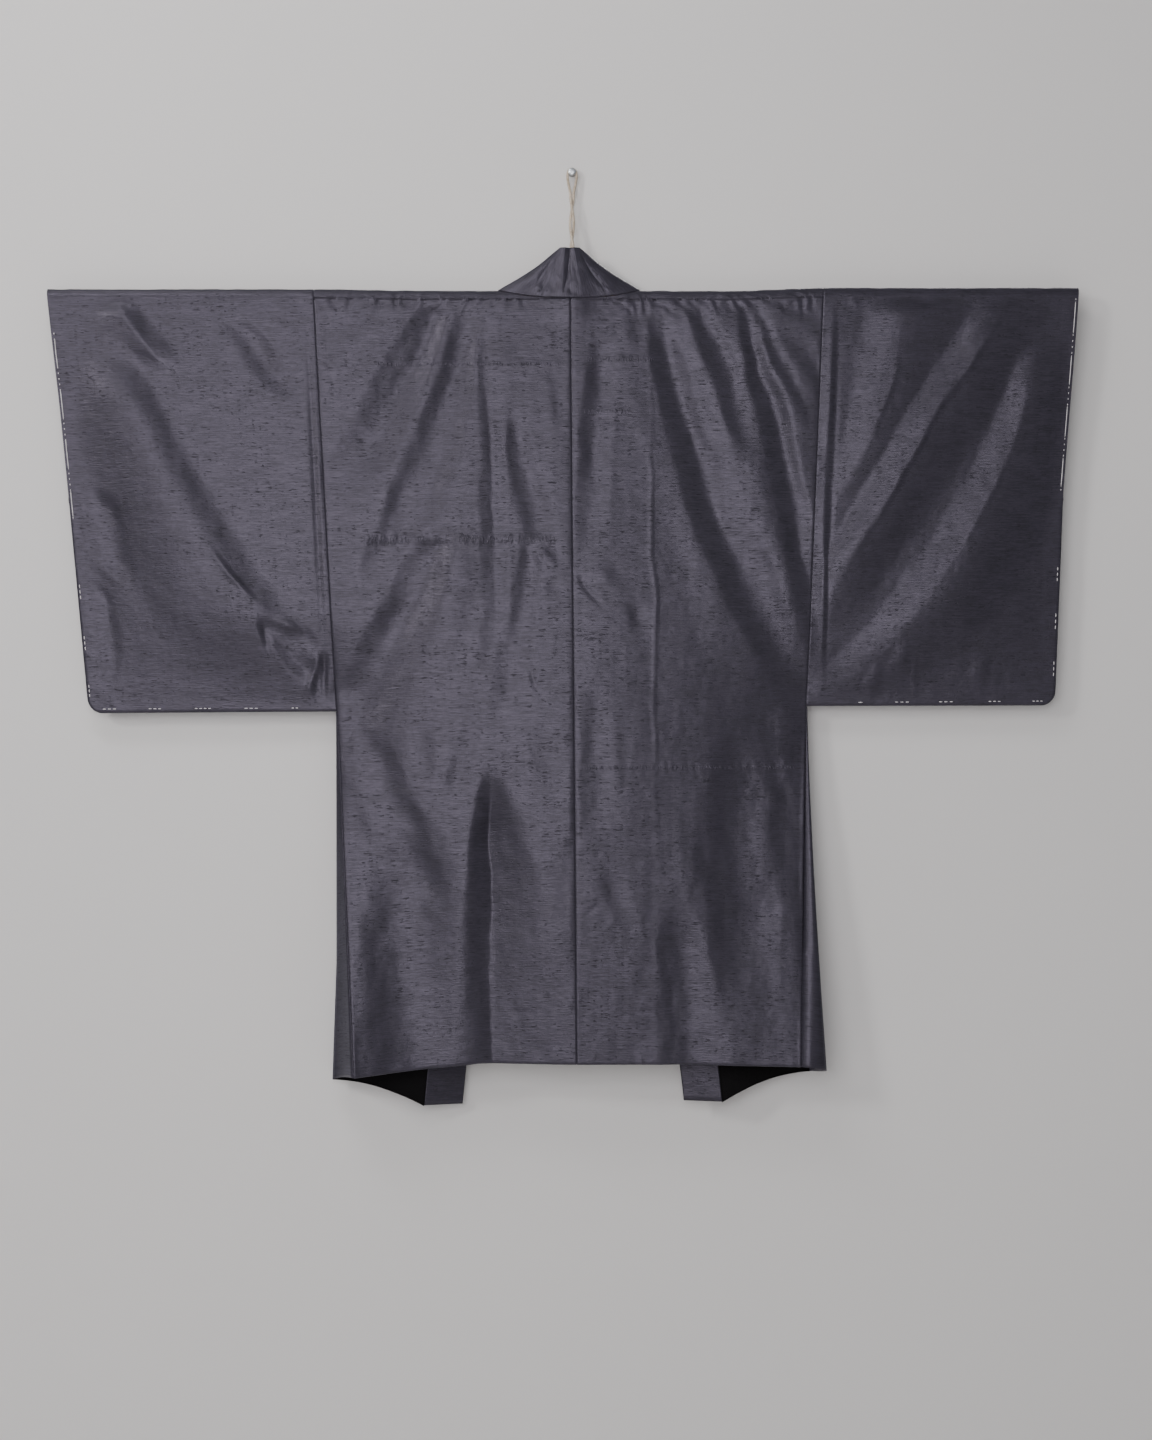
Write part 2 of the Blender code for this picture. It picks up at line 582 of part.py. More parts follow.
def material(name, color, roughness, metallic=0.0):
    made = bpy.data.materials.new(name)
    made.use_nodes = True
    shader = made.node_tree.nodes["Principled BSDF"]
    shader.inputs["Base Color"].default_value = (*color, 1)
    shader.inputs["Roughness"].default_value = roughness
    shader.inputs["Metallic"].default_value = metallic
    made.diffuse_color = (*color, 1)
    return made


def add(name, mesh, finish, collection):
    made = bpy.data.objects.new(name, mesh)
    collection.objects.link(made)
    mesh.materials.append(finish)
    return made


def sheet(name, sections, wall, finish, collection, closing=()):
    """A sheet lofted through the sections, closed between the pairs of points, with its wall."""
    shape = bmesh.new()
    corners = [[shape.verts.new(point) for point in row] for row in sections]
    for low, high in zip(corners, corners[1:]):
        for column in range(len(low) - 1):
            shape.faces.new((low[column], low[column + 1], high[column + 1], high[column]))
    rails = [(corners[a[0]][a[1]], corners[b[0]][b[1]]) for a, b in closing]
    for (back, front), (next_back, next_front) in zip(rails, rails[1:]):
        shape.faces.new((back, next_back, next_front, front))
    bmesh.ops.recalc_face_normals(shape, faces=shape.faces)
    mesh = bpy.data.meshes.new(name)
    shape.to_mesh(mesh)
    shape.free()
    mesh.shade_smooth()
    made = add(name, mesh, finish, collection)
    solidify = made.modifiers.new("wall", "SOLIDIFY")
    solidify.thickness = wall
    solidify.offset = 0
    solidify.use_even_offset = True
    solidify.use_quality_normals = True
    return made


def cylinder(name, radius, start, end, sides, finish, collection, axis="Y"):
    """A cylinder along Y or X, from start to end on that axis."""
    turn = {"Y": (math.pi / 2, 0, 0), "X": (0, math.pi / 2, 0)}[axis]
    bpy.ops.mesh.primitive_cylinder_add(
        vertices=sides, radius=radius, depth=abs(end - start), rotation=turn
    )
    made = bpy.context.object
    made.name = made.data.name = name
    bpy.ops.object.transform_apply(location=False, rotation=True, scale=False)
    for linked in list(made.users_collection):
        linked.objects.unlink(made)
    collection.objects.link(made)
    made.location["XYZ".index(axis)] = (start + end) / 2
    made.data.materials.clear()
    made.data.materials.append(finish)
    made.data.shade_smooth()
    made.data.set_sharp_from_angle(angle=math.radians(40))
    return made


def build_cloth(parts):
    silk = material("black_silk", SILK, 0.45)
    collar_silk = material("collar_silk", SILK_COLLAR, 0.45)
    for side in SIDES:
        sheet(f"body_{side.name}", body_sections(side), CLOTH, silk, parts)
        sleeve = sleeve_sections(side)
        sheet(f"sleeve_{side.name}", sleeve, CLOTH, silk, parts, sleeve_closing(sleeve))
        sheet(f"gusset_{side.name}", gusset_sections(side), CLOTH, silk, parts)
    sheet("collar", collar_sections(), COLLAR_CLOTH, collar_silk, parts)


def build_rod(parts):
    rod = cylinder("rod", ROD_RADIUS, *ROD_ENDS, 20, material("pine", PINE, 0.6), parts, axis="X")
    rod.location.y, rod.location.z = ROD_Y, ROD_Z
    chamfer = rod.modifiers.new("chamfer", "BEVEL")
    chamfer.width = ROD_CHAMFER
    chamfer.segments = 1
    chamfer.angle_limit = math.radians(60)


def build_twine(parts):
    curve = bpy.data.curves.new("twine", "CURVE")
    curve.dimensions = "3D"
    curve.bevel_depth = TWINE_RADIUS
    curve.bevel_resolution = 2
    spline = curve.splines.new("POLY")
    route = along_curve(twine_route(), TWINE_POINTS)
    spline.points.add(len(route) - 1)
    for point, place in zip(spline.points, route):
        point.co = (*place, 1)
    spline.use_cyclic_u = True
    add("twine", curve, material("jute", TWINE, 0.9), parts)


def build_screw(parts, cutters):
    zinc = material("zinc", ZINC, 0.3, metallic=1.0)
    profile = bpy.data.meshes.new("screw")
    outline = [(HEAD_RADIUS * out, SCREW_Y + HEAD_THICKNESS * back) for out, back in HEAD_OUTLINE]
    outline += [(SHANK_RADIUS, SCREW_Y + HEAD_THICKNESS), (SHANK_RADIUS, 0), (0, 0)]
    edges = [(index, index + 1) for index in range(len(outline) - 1)]
    profile.from_pydata([(radius, y, 0) for radius, y in outline], edges, [])
    screw = add("screw", profile, zinc, parts)
    turned = screw.modifiers.new("turned", "SCREW")
    turned.axis = "Y"
    turned.steps = turned.render_steps = 20
    turned.use_merge_vertices = True
    turned.merge_threshold = 0.00001
    turned.use_normal_calculate = True
    for turn in (RECESS_TURN, RECESS_TURN + math.pi / 2):
        bpy.ops.mesh.primitive_cube_add(size=1, location=(0, SCREW_Y, 0), rotation=(0, turn, 0))
        slot = bpy.context.object
        slot.name = f"recess_{turn:.1f}"
        slot.scale = (RECESS_LENGTH, 2 * RECESS_DEPTH, RECESS_WIDTH)
        slot.hide_render = True
        slot.display_type = "WIRE"
        for linked in list(slot.users_collection):
            linked.objects.unlink(slot)
        cutters.objects.link(slot)
        cut = screw.modifiers.new(slot.name, "BOOLEAN")
        cut.operation = "DIFFERENCE"
        cut.object = slot


def build_plug(parts, cutters):
    plug = cylinder(
        "wall_plug", PLUG_RADIUS, -PLUG_THICKNESS, 0, 20, material("plug", PLUG, 0.6), parts
    )
    hole = cylinder(
        "plug_hole", SHANK_RADIUS + TOUCH_GAP, -0.01, 0.01, 20, plug.data.materials[0], cutters
    )
    hole.hide_render = True
    hole.display_type = "WIRE"
    cut = plug.modifiers.new("hole", "BOOLEAN")
    cut.operation = "DIFFERENCE"
    cut.object = hole


def main():
    for old in list(bpy.data.objects):
        bpy.data.objects.remove(old)
    parts = bpy.data.collections.new("haori_jacket")
    cutters = bpy.data.collections.new("cutters")
    for collection in (parts, cutters):
        bpy.context.scene.collection.children.link(collection)
    build_cloth(parts)
    build_rod(parts)
    build_twine(parts)
    build_screw(parts, cutters)
    build_plug(parts, cutters)


main()
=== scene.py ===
"""Looks of a haori jacket hung flat from a rod, which a loop of twine holds to a wall screw.

Metres, +Z up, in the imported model's frame: the wall is the plane y = 0 and +Y goes into it, the
screw meets it at the origin, and +X is to the right of someone who faces the wall and the
garment's back. Each cloth piece is a fine grid on its solid's form, with its seams, creases and
drape pushed into it.
"""

import math
from collections import namedtuple

import bmesh
import bpy
import numpy as np
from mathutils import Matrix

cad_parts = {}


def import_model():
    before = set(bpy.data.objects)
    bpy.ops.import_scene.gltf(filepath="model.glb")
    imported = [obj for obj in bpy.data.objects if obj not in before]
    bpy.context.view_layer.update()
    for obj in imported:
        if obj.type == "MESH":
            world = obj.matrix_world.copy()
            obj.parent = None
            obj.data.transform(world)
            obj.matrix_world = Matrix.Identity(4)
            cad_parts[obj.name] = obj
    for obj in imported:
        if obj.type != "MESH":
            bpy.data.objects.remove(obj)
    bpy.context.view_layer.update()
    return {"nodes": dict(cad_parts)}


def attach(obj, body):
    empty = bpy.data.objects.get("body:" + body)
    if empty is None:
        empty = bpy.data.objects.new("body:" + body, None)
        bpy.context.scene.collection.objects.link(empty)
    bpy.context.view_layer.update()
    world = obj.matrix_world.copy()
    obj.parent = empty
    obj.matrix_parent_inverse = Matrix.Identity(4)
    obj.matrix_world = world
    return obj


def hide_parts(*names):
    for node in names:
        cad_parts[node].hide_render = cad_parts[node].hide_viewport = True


# Camera: level, square to the wall
CAMERA_PLACE = (0.005, -3.026, -0.689)
CAMERA_LENS = 75
CAMERA_SENSOR = 36
CAMERA_REACH = 60

# Cloth's thickness, the gaps at its seams, and the rod that the garment hangs on
CLOTH = 0.0012
COLLAR_CLOTH = 0.002
SEAM_GAP = 0.0004
GUSSET_GAP = 0.0001
TOUCH_GAP = 0.0003
SHOULDER_Z = -0.1525
ROD_RADIUS = 0.010
ROD_Y = -0.026
WRAP_RADIUS = 0.01105
ROD_Z = -0.1643

# Centre back seam, from the neck to the hem
CENTRE_TOP_X = -0.002
CENTRE_HEM_X = 0.006
CENTRE_HEM_Z = -1.112
CENTRE_HEM_DEPTH = 0.054

# Half the space between the layers: at a closed edge, and the least that a fold may leave
EDGE_HALF_GAP = 0.003
LEAST_HALF_GAP = 0.0028
CLOSING_WIDTH = 0.130
FLARE_POWER = 1.6
BACK_CROWN_POWER = 2.2

# Front panels: how late the collar's edge leaves the wall side, how soon the side seam's depth
# gives way to it, and the width over which folds die out beside it
FRONT_FALL_POWER = 2.5
FRONT_SIDE_POWER = 1.4
FRONT_EDGE_CALM = 4.0

# Hems: the back's side corner, as a share of the panel's width, and the sag of the front's
BACK_HEM_STRAIGHTENS = 1.8
FRONT_HEM_POWER = 1.8

# The sleeves' pressed fold stands above the rod from these x on
PRESSED_FOLD_X = (0.19, 0.33)
PRESSED_FOLD_DEPTH = 0.10

# Collar: height above the shoulder at the centre back, and widths along the front
PEAK_HEIGHT = 0.0515
PEAK_HALF_WIDTH = 0.0115
PEAK_X = -0.0030
FLANK_POWER = 1.15
NECK_EDGE_INWARD = 0.043
PEAK_Y = -0.0415
NECK_EDGE_Y = -0.016
NECK_EDGE_POWER = 1.5
COLLAR_WIDTH_SHOULDER = 0.056
COLLAR_WIDTH_HEM = 0.048
COLLAR_TURN_LENGTH = 0.090
VALLEY_DEPTH = 0.004
VALLEY_TURN = math.radians(10)
COLLAR_LEAN = 0.005
COLLAR_TWIST = 1.2
COLLAR_RADIUS = WRAP_RADIUS + 0.00025
COLLAR_SEAM_GAP = 0.0007

# On the fronts: how much closer the collar lies to its seam, by which share of its run down, and
# the share at which that run starts
COLLAR_FRONT_CLOSER = 0.00045
COLLAR_CLOSER_BY = 0.1
COLLAR_RUN_STARTS = 0.02

# The collar's creases lie behind the neck: how far they fade in depth, from which drop below the
# shoulder and over which height they start, and the share of its width beside the seam without any
NECK_BEHIND = 0.004
NECK_DROP, NECK_FADE = 0.012, 0.006
COLLAR_CALM = 0.12

# Cuff opening, from the shoulder down, and the radius of the sleeve's lower corner
CUFF_OPENING = 0.260
SLEEVE_CORNER = 0.017
SLEEVE_FOLDS_FADE = 0.030

# Room in the back, below the neck seam, for the twine that goes round the rod
TWINE_ROOM = 0.0042
TWINE_ROOM_SPREAD = (0.024, 0.030)

# What differs between the garment's left and right as the wall faces: an x and a z for each place
Side = namedtuple(
    "Side",
    "name sign neck_x seam_top_x armpit_x armpit_z back_hem_x back_hem_z back_hem_depth"
    " front_mid_x front_hem_x front_hem_z front_hem_depth"
    " edge_hem_x edge_hem_z edge_hem_y edge_free_y pressed_rise"
    " cuff_top_x cuff_mid_x cuff_mid_z cuff_low_x sleeve_low_z gusset_fold_x gusset_fold_y",
)
SIDES = (
    Side(
        name="left", sign=-1, neck_x=-0.0925,
        seam_top_x=-0.3225, armpit_x=-0.2937, armpit_z=-0.6778,
        back_hem_x=-0.2665, back_hem_z=-1.127, back_hem_depth=0.056,
        front_mid_x=-0.2935, front_hem_x=-0.2990, front_hem_z=-1.139, front_hem_depth=0.008,
        edge_hem_x=-0.1850, edge_hem_z=-1.170, edge_hem_y=-0.030, edge_free_y=-0.015,
        pressed_rise=0.0018, cuff_top_x=-0.6550, cuff_mid_x=-0.6400, cuff_mid_z=-0.289,
        cuff_low_x=-0.6035, sleeve_low_z=-0.6800,
        gusset_fold_x=-0.2850, gusset_fold_y=-0.042,
    ),
    Side(
        name="right", sign=1, neck_x=0.0850,
        seam_top_x=0.3138, armpit_x=0.2925, armpit_z=-0.6710,
        back_hem_x=0.2815, back_hem_z=-1.115, back_hem_depth=0.052,
        front_mid_x=0.2955, front_hem_x=0.2970, front_hem_z=-1.128, front_hem_depth=0.004,
        edge_hem_x=0.1870, edge_hem_z=-1.163, edge_hem_y=-0.045, edge_free_y=-0.034,
        pressed_rise=0.0038, cuff_top_x=0.6320, cuff_mid_x=0.6137, cuff_mid_z=-0.401,
        cuff_low_x=0.6030, sleeve_low_z=-0.6703,
        gusset_fold_x=0.3137, gusset_fold_y=-0.067,
    ),
)
FRONT_MID_Z = -0.990

# Folds in millimetres: a line down the cloth from its top to its low height, with x and half width
# at the top, halfway and low; its height to the viewer (below zero for a trough) or, on the
# fronts, to the wall; the share by which its left flank is the wider; and how sharp its crest or
# bottom is, from 0 to 1.
Fold = namedtuple(
    "Fold", "name top low x_top x_mid x_low w_top w_mid w_low height lean sharp", defaults=(0, 0)
)
BACK_FOLDS = (
    Fold("right_drag_long", -160, -700, 103, 184, 302, 14, 38, 24, -6.2),
    Fold("right_drag_crest", -150, -665, 132, 236, 300, 16, 30, 18, 3.4),
    Fold("right_drag_outer", -150, -570, 203, 262, 298, 12, 22, 18, -4.0),
    Fold("right_spine", -203, -520, 39, 26, 12, 18, 26, 20, -2.8),
    Fold("right_low_hollow", -690, -1070, 207, 210, 214, 28, 50, 44, -4.4),
    Fold("right_low_seam_side", -640, -850, 22, 28, 36, 14, 24, 20, -1.0),
    Fold("right_hem_flute", -900, -1300, 124, 148, 174, 16, 46, 48, -4.2, -0.1),
    Fold("right_hem_edge", -720, -1300, 298, 296, 300, 30, 60, 70, 3.0),
    Fold("left_drag_upper", -130, -430, -156, -218, -306, 16, 38, 36, -5.4),
    Fold("left_drag_long", -150, -600, -122, -182, -262, 18, 40, 36, -5.4),
    Fold("left_under_drag", -430, -770, -152, -226, -310, 20, 46, 38, -6.0),
    Fold("left_hem_pleat", -735, -1320, -104, -98, -96, 14, 76, 98, -14.0, -0.3, 0.6),
    Fold("left_hem_flute", -800, -1360, -204, -188, -184, 50, 80, 86, -8.2),
    Fold("left_hem_edge", -720, -1400, -440, -336, -366, 110, 156, 160, 17.0),
    Fold("left_sleeve_ridge", -205, -690, -583, -480, -318, 28, 74, 68, 8.4, 0.25),
    Fold("left_sleeve_edge", -403, -529, -589, -570, -551, 14, 24, 16, -2.4),
    Fold("left_sleeve_elbow", -560, -660, -388, -350, -312, 12, 22, 14, -3.2),
    Fold("right_sleeve_long", -140, -590, 560, 420, 290, 38, 48, 30, 8.6, -0.28),
    Fold("right_sleeve_low", -200, -700, 582, 508, 300, 30, 64, 46, 8.2, -0.18),
    Fold("right_sleeve_high", -140, -440, 412, 390, 326, 78, 60, 24, 6.2, -0.3),
    # smaller folds of the same kind
    Fold("right_shoulder_a", -150, -400, 140, 196, 226, 12, 20, 17, -2.8),
    Fold("right_shoulder_b", -162, -279, 215, 253, 280, 9, 13, 12, -1.4),
    Fold("left_plumb", -140, -690, -104, -100, -94, 14, 20, 20, -1.9),
    Fold("left_waist_soft", -440, -720, -48, -66, -92, 14, 24, 22, -2.2),
    Fold("left_spine", -300, -500, -70, -54, -22, 13, 26, 20, -2.6),
    Fold("left_low_slant", -690, -925, -254, -222, -164, 20, 34, 26, -3.2),
    Fold("left_sleeve_top", -130, -262, -568, -550, -496, 14, 36, 30, 7.0, 0.3, 0.6),
    Fold("left_sleeve_edge_b", -509, -660, -601, -582, -585, 14, 24, 15, -2.4),
    Fold("left_sleeve_slant", -186, -292, -424, -386, -344, 12, 26, 18, -2.4),
    Fold("left_sleeve_tuck", -602, -690, -312, -313, -316, 6, 12, 12, -2.4),
)
FRONT_FOLDS = (
    Fold("left_front_flute", -400, -1300, -190, -236, -262, 20, 38, 44, 5.0),
    Fold("left_front_drag", -180, -640, -130, -200, -284, 16, 28, 12, -4.0),
    Fold("right_front_flute", -380, -1300, 180, 228, 250, 20, 36, 42, 5.0),
    Fold("right_front_drag", -180, -640, 130, 205, 284, 16, 28, 12, -4.0),
    Fold("left_sleeve_front", -180, -600, -560, -480, -340, 20, 30, 16, 3.0),
    Fold("right_sleeve_front", -180, -600, 540, 460, 340, 20, 30, 16, 3.0),
)
# Shares of its length over which a fold fades at its top and its low end, the height below the rod
# over which all of them do, and the share of its length that its slope is taken over
FOLD_FADE_TOP = 0.18
FOLD_FADE_LOW = 0.34
FOLD_ROOM_BELOW_ROD = 0.022
SLOPE_STEP = 0.01

# Creases in millimetres: a curve through three points x, z, its half width and height, whether its
# crest or bottom is a sharp line (1) or not (0), and the share by which its left flank is the
# wider.
Crease = namedtuple("Crease", "name x0 z0 x1 z1 x2 z2 width height sharp lean", defaults=(0, 0))
BODY_CREASES = (
    Crease("left_shoulder_streak_a", -209, -162, -224, -175, -240, -187, 7, 1.2),
    Crease("left_shoulder_streak_b", -179, -170, -189, -183, -199, -197, 6, 1.0),
    Crease("left_fan_dark_a", -166, -167, -214, -251, -276, -333, 9, -2.2),
    Crease("left_fan_dark_d", -120, -174, -132, -223, -145, -272, 8, -1.2),
    Crease("left_fan_bright_b", -146, -178, -177, -266, -214, -353, 10, 1.6),
    Crease("left_fan_dark_b", -122, -180, -160, -330, -205, -455, 13, -1.4),
    Crease("left_fan_crest_b", -137, -341, -155, -505, -176, -590, 16, 2.2),
    Crease("left_fan_bright_c", -183, -328, -220, -440, -248, -528, 9, 1.2),
    Crease("left_low_drag_a", -210, -350, -226, -408, -240, -462, 12, -2.4),
    Crease("left_low_drag_b", -170, -330, -182, -410, -188, -462, 8, -1.6),
    Crease("left_under_row_a", -184, -462, -226, -552, -284, -640, 14, -4.6),
    Crease("left_under_row_b", -243, -455, -252, -485, -262, -520, 9, -2.2),
    Crease("left_under_row_c", -130, -462, -139, -560, -170, -670, 11, -2.6),
    Crease("left_under_row_crest", -166, -470, -158, -515, -150, -575, 14, 2.4),
    Crease("left_waist_crumple", -66, -462, -44, -488, -25, -508, 8, 2.6),
    Crease("left_waist_dark", -38, -465, -28, -483, -17, -500, 6, -1.5),
    Crease("left_waist_blob", -34, -508, -28, -525, -20, -542, 7, -2.0),
    Crease("left_plumb_a", -110, -201, -102, -401, -93, -649, 5, -1.2, 1, 0.3),
    Crease("left_plumb_b", -91, -210, -91, -266, -91, -319, 5, -0.8),
    Crease("left_plumb_c", -68, -323, -50, -409, -32, -455, 8, -0.8),
    Crease("left_plumb_d", -48, -478, -34, -491, -19, -505, 5, -1.0, 1),
    Crease("left_spine_b", -27, -215, -26, -280, -25, -345, 7, -1.5),
    Crease("left_waist_nick", -58, -610, -46, -638, -35, -668, 7, -2.4, 1),
    Crease("left_low_line", -106, -758, -102, -816, -97, -897, 7, -1.5, 0, 0.2),
    Crease("left_low_pleat", -99, -897, -97, -1003, -97, -1112, 8, 2.2, 1, 0.5),
    Crease("left_low_slant_a", -271, -792, -212, -862, -164, -929, 10, 0.6),
    Crease("left_low_slant_b", -284, -800, -246, -852, -208, -900, 7, -0.8),
    Crease("left_low_slant_c", -234, -787, -200, -824, -159, -861, 9, -1.6),
    Crease("left_low_drag_c", -128, -685, -148, -748, -168, -820, 12, -2.0),
    Crease("left_low_plumb", -49, -670, -42, -734, -24, -800, 11, -2.4),
    Crease("left_low_smudge_a", -236, -670, -240, -735, -232, -795, 11, -2.2),
    Crease("left_low_smudge_b", -202, -680, -194, -734, -183, -780, 9, -1.8),
    Crease("left_low_nick_a", -69, -864, -81, -879, -94, -894, 5, -1.2, 1),
    Crease("left_low_nick_b", -71, -897, -85, -916, -99, -934, 5, -1.1, 1),
    Crease("left_low_nick_c", -127, -960, -108, -956, -90, -953, 5, -0.9, 1),
    Crease("left_hem_line", -93, -1052, -55, -1053, -16, -1054, 4, -0.7, 1),
    Crease("left_hem_nick", -46, -1072, -45, -1095, -44, -1120, 6, -1.2),
    Crease("right_storage_crease", 98, -185, 102, -540, 105, -930, 5, 1.5, 1, 0.4),
    Crease("right_fan_dark_a", 110, -215, 157, -394, 216, -549, 10, -2.6),
    Crease("right_fan_crest_a", 113, -215, 169, -369, 242, -549, 11, 1.6),
    Crease("right_fan_dark_b", 134, -171, 178, -260, 211, -385, 11, -3.0),
    Crease("right_fan_crest_b", 166, -175, 203, -240, 224, -315, 9, 2.0),
    Crease("right_fan_dark_c", 203, -170, 241, -315, 278, -485, 12, -3.0),
    Crease("right_fan_crest_c", 196, -165, 259, -287, 296, -352, 9, 1.8),
    Crease("right_fan_bright_d", 225, -161, 242, -183, 259, -206, 7, 1.1),
    Crease("right_side_blob", 281, -227, 285, -257, 302, -301, 9, 1.6),
    Crease("right_neck_a", 56, -167, 62, -203, 70, -245, 6, 1.1),
    Crease("right_neck_b", 77, -170, 81, -203, 86, -238, 6, -1.2),
    Crease("right_spine_dark", 15, -291, 14, -353, 22, -429, 9, -1.6),
    Crease("right_waist_nick_a", 3, -500, 20, -530, 42, -560, 7, -2.8, 1),
    Crease("right_waist_nick_b", 12, -500, 35, -519, 64, -542, 8, 2.2),
    Crease("right_waist_dark", 66, -540, 74, -562, 82, -586, 8, -2.2),
    Crease("right_low_nick_a", 38, -848, 33, -854, 26, -863, 5, -1.2, 1),
    Crease("right_low_nick_b", 41, -912, 26, -922, 10, -934, 5, -1.4, 1),
    Crease("right_low_nick_c", 19, -865, 55, -918, 73, -1010, 9, -1.7),
    Crease("right_low_plumb_a", 177, -758, 178, -825, 192, -959, 12, -1.8),
    Crease("right_low_plumb_b", 234, -705, 240, -758, 260, -805, 10, -2.4),
    Crease("right_low_blot_a", 212, -900, 226, -930, 236, -975, 12, -2.2),
    Crease("right_low_blot_b", 146, -825, 158, -868, 164, -915, 12, -2.2),
    Crease("right_low_triangle", 238, -684, 261, -701, 283, -726, 13, 1.8),
    Crease("right_low_plumb_c", 115, -954, 121, -1019, 130, -1100, 10, -1.0, 1),
    Crease("right_low_soft", 14, -645, 20, -742, 25, -845, 13, -1.4),
    Crease("right_level_crease", 9, -753, 146, -751, 283, -760, 4, -0.7, 1),
    Crease("right_hem_line", 9, -1040, 120, -1047, 284, -1052, 4, -0.6, 1),
    Crease("left_armhole_crease", -304, -163, -301, -233, -290, -309, 5, -1.3, 1),
    Crease("left_neck_imprint", -62, -163, -33, -176, -6, -182, 4, -1.5, 1),
    Crease("right_neck_imprint", 3, -182, 25, -175, 50, -167, 4, -1.1, 1),
)
SLEEVE_CREASES = (
    Crease("left_cuff_ridge", -556, -225, -536, -230, -517, -239, 5, 1.2, 1),
    Crease("left_cuff_tick", -606, -219, -601, -228, -594, -237, 4, 0.9, 1),
    Crease("left_sleeve_line", -463, -462, -424, -508, -378, -558, 8, 4.4, 1, 0.5),
    Crease("left_crumple_a", -386, -556, -384, -591, -379, -624, 11, -5.0, 1),
    Crease("left_crumple_b", -370, -565, -353, -573, -332, -581, 8, 4.4, 1),
    Crease("left_crumple_c", -364, -578, -343, -597, -323, -616, 9, -4.6),
    Crease("left_crumple_v_a", -313, -600, -325, -637, -334, -672, 7, 4.4, 1),
    Crease("left_crumple_v_b", -314, -598, -308, -639, -304, -676, 6, -4.4, 1),
    Crease("left_hollow_a", -589, -414, -571, -445, -553, -505, 9, -1.6),
    Crease("left_hollow_b", -603, -508, -584, -544, -589, -618, 9, -1.6),
    Crease("left_hollow_ridge", -608, -495, -583, -508, -557, -522, 5, 1.1),
    Crease("left_sleeve_soft", -421, -209, -395, -242, -368, -269, 10, -1.5),
    Crease("left_seam_crinkle", -318, -258, -299, -248, -285, -255, 4, 1.2, 1),
    Crease("right_sleeve_wedge", 337, -158, 348, -168, 361, -182, 6, 1.8, 1),
    Crease("right_sleeve_plumb", 429, -587, 429, -628, 429, -669, 4, 0.7, 1),
    Crease("right_sleeve_small_a", 414, -579, 406, -607, 396, -634, 7, 1.5),
    Crease("right_sleeve_small_b", 502, -602, 501, -624, 499, -652, 8, 1.0),
    Crease("right_sleeve_small_c", 381, -614, 371, -639, 361, -662, 7, 1.4),
    Crease("right_sleeve_crest_a", 592, -105, 446, -328, 322, -538, 10, 3.0, 1, 0.4),
    Crease("right_sleeve_crest_b", 571, -253, 517, -412, 372, -632, 11, 1.6, 1, 0.4),
    Crease("right_sleeve_crest_c", 404, -190, 393, -290, 352, -375, 8, 1.4, 1, 0.4),
)
# Pressed lines that run straight beside the sleeves' seams
SEAM_CREASES = (
    Crease("left_seam_trough", -332, -150, -320, -396, -305, -680, 7, -3.6, 1),
    Crease("left_seam_ridge", -326, -150, -314, -396, -299, -680, 5, 2.4, 1),
    Crease("right_seam_ridge", 327, -150, 322, -290, 317, -380, 14, 5.5, 1, 0.6),
    Crease("right_seam_ridge_low", 318, -330, 314, -500, 314, -690, 11, 4.5, 1, 0.6),
    Crease("right_seam_line", 336, -140, 324, -411, 311, -690, 5, -2.0, 1),
)
COLLAR_CREASES = (
    Crease("collar_valley", -4, -101, -6, -136, -12, -161, 5, -4.8, 1),
    Crease("collar_valley_branch", -4, -150, -2, -155, 1, -162, 3, -1.6, 1),
    Crease("collar_left_fold", -21, -106, -36, -130, -43, -149, 6, -3.0, 1),
    Crease("collar_left_ridge", -27, -108, -46, -134, -58, -152, 7, 1.4),
    Crease("collar_right_fold", 9, -103, 25, -133, 46, -156, 6, -3.0, 1),
    Crease("collar_right_ridge", 15, -108, 34, -134, 58, -154, 7, 1.4),
    Crease("collar_facet_line", 3, -112, 5, -134, 12, -156, 4, -0.8, 1),
    Crease("collar_left_tick", -50, -146, -42, -150, -34, -154, 3, 1.0, 1),
    Crease("collar_right_tick", 36, -148, 44, -152, 55, -155, 3, 0.9, 1),
)

# Rows of small puckers along a hidden stitch line, in millimetres: a level line from one x to the
# other at z, the reach of the puckers above and below it, the height of both, how far apart the
# puckers are, and how far they lean to the right for each millimetre up.
Pucker = namedtuple("Pucker", "name x_from x_to z reach line ticks pitch slant")
BODY_PUCKERS = (
    Pucker("left_back_row", -262, -18, -465, 11, 0.75, 0.60, 11.0, 0.0),
    Pucker("right_back_row", 17, 104, -240, 8, 0.50, 0.25, 11.0, 0.0),
    Pucker("right_back_short", 13, 72, -305, 6, 0.40, 0.15, 10.0, 0.0),
    Pucker("right_back_low", 35, 70, -325, 6, 0.35, 0.15, 10.0, 0.0),
    Pucker("right_low_row", 9, 285, -748, 8, 0.50, 0.25, 12.0, 0.0),
    Pucker("left_yoke_row", -250, -10, -246, 7, 0.30, 0.15, 11.0, 0.0),
    Pucker("left_shoulder_crinkles", -318, -50, -166, 22, 0.0, 1.10, 19.0, 0.55),
    Pucker("right_shoulder_crinkles", 40, 310, -166, 24, 0.0, 1.20, 20.0, -0.60),
)

# Puckers: the reach of the line itself and of a row's ends in millimetres, and the share of their
# height that is everywhere there
PUCKER_LINE = 4.5
PUCKER_END = 14
PUCKER_LEAST = 0.55

# The fan of soft waves: where it spreads from, its height, how far from there it starts, and over
# which width it grows
FAN_PLACE = (-0.020, 0.080)
FAN_HEIGHT = 0.0011
FAN_STARTS, FAN_GROWS = 0.22, 0.25

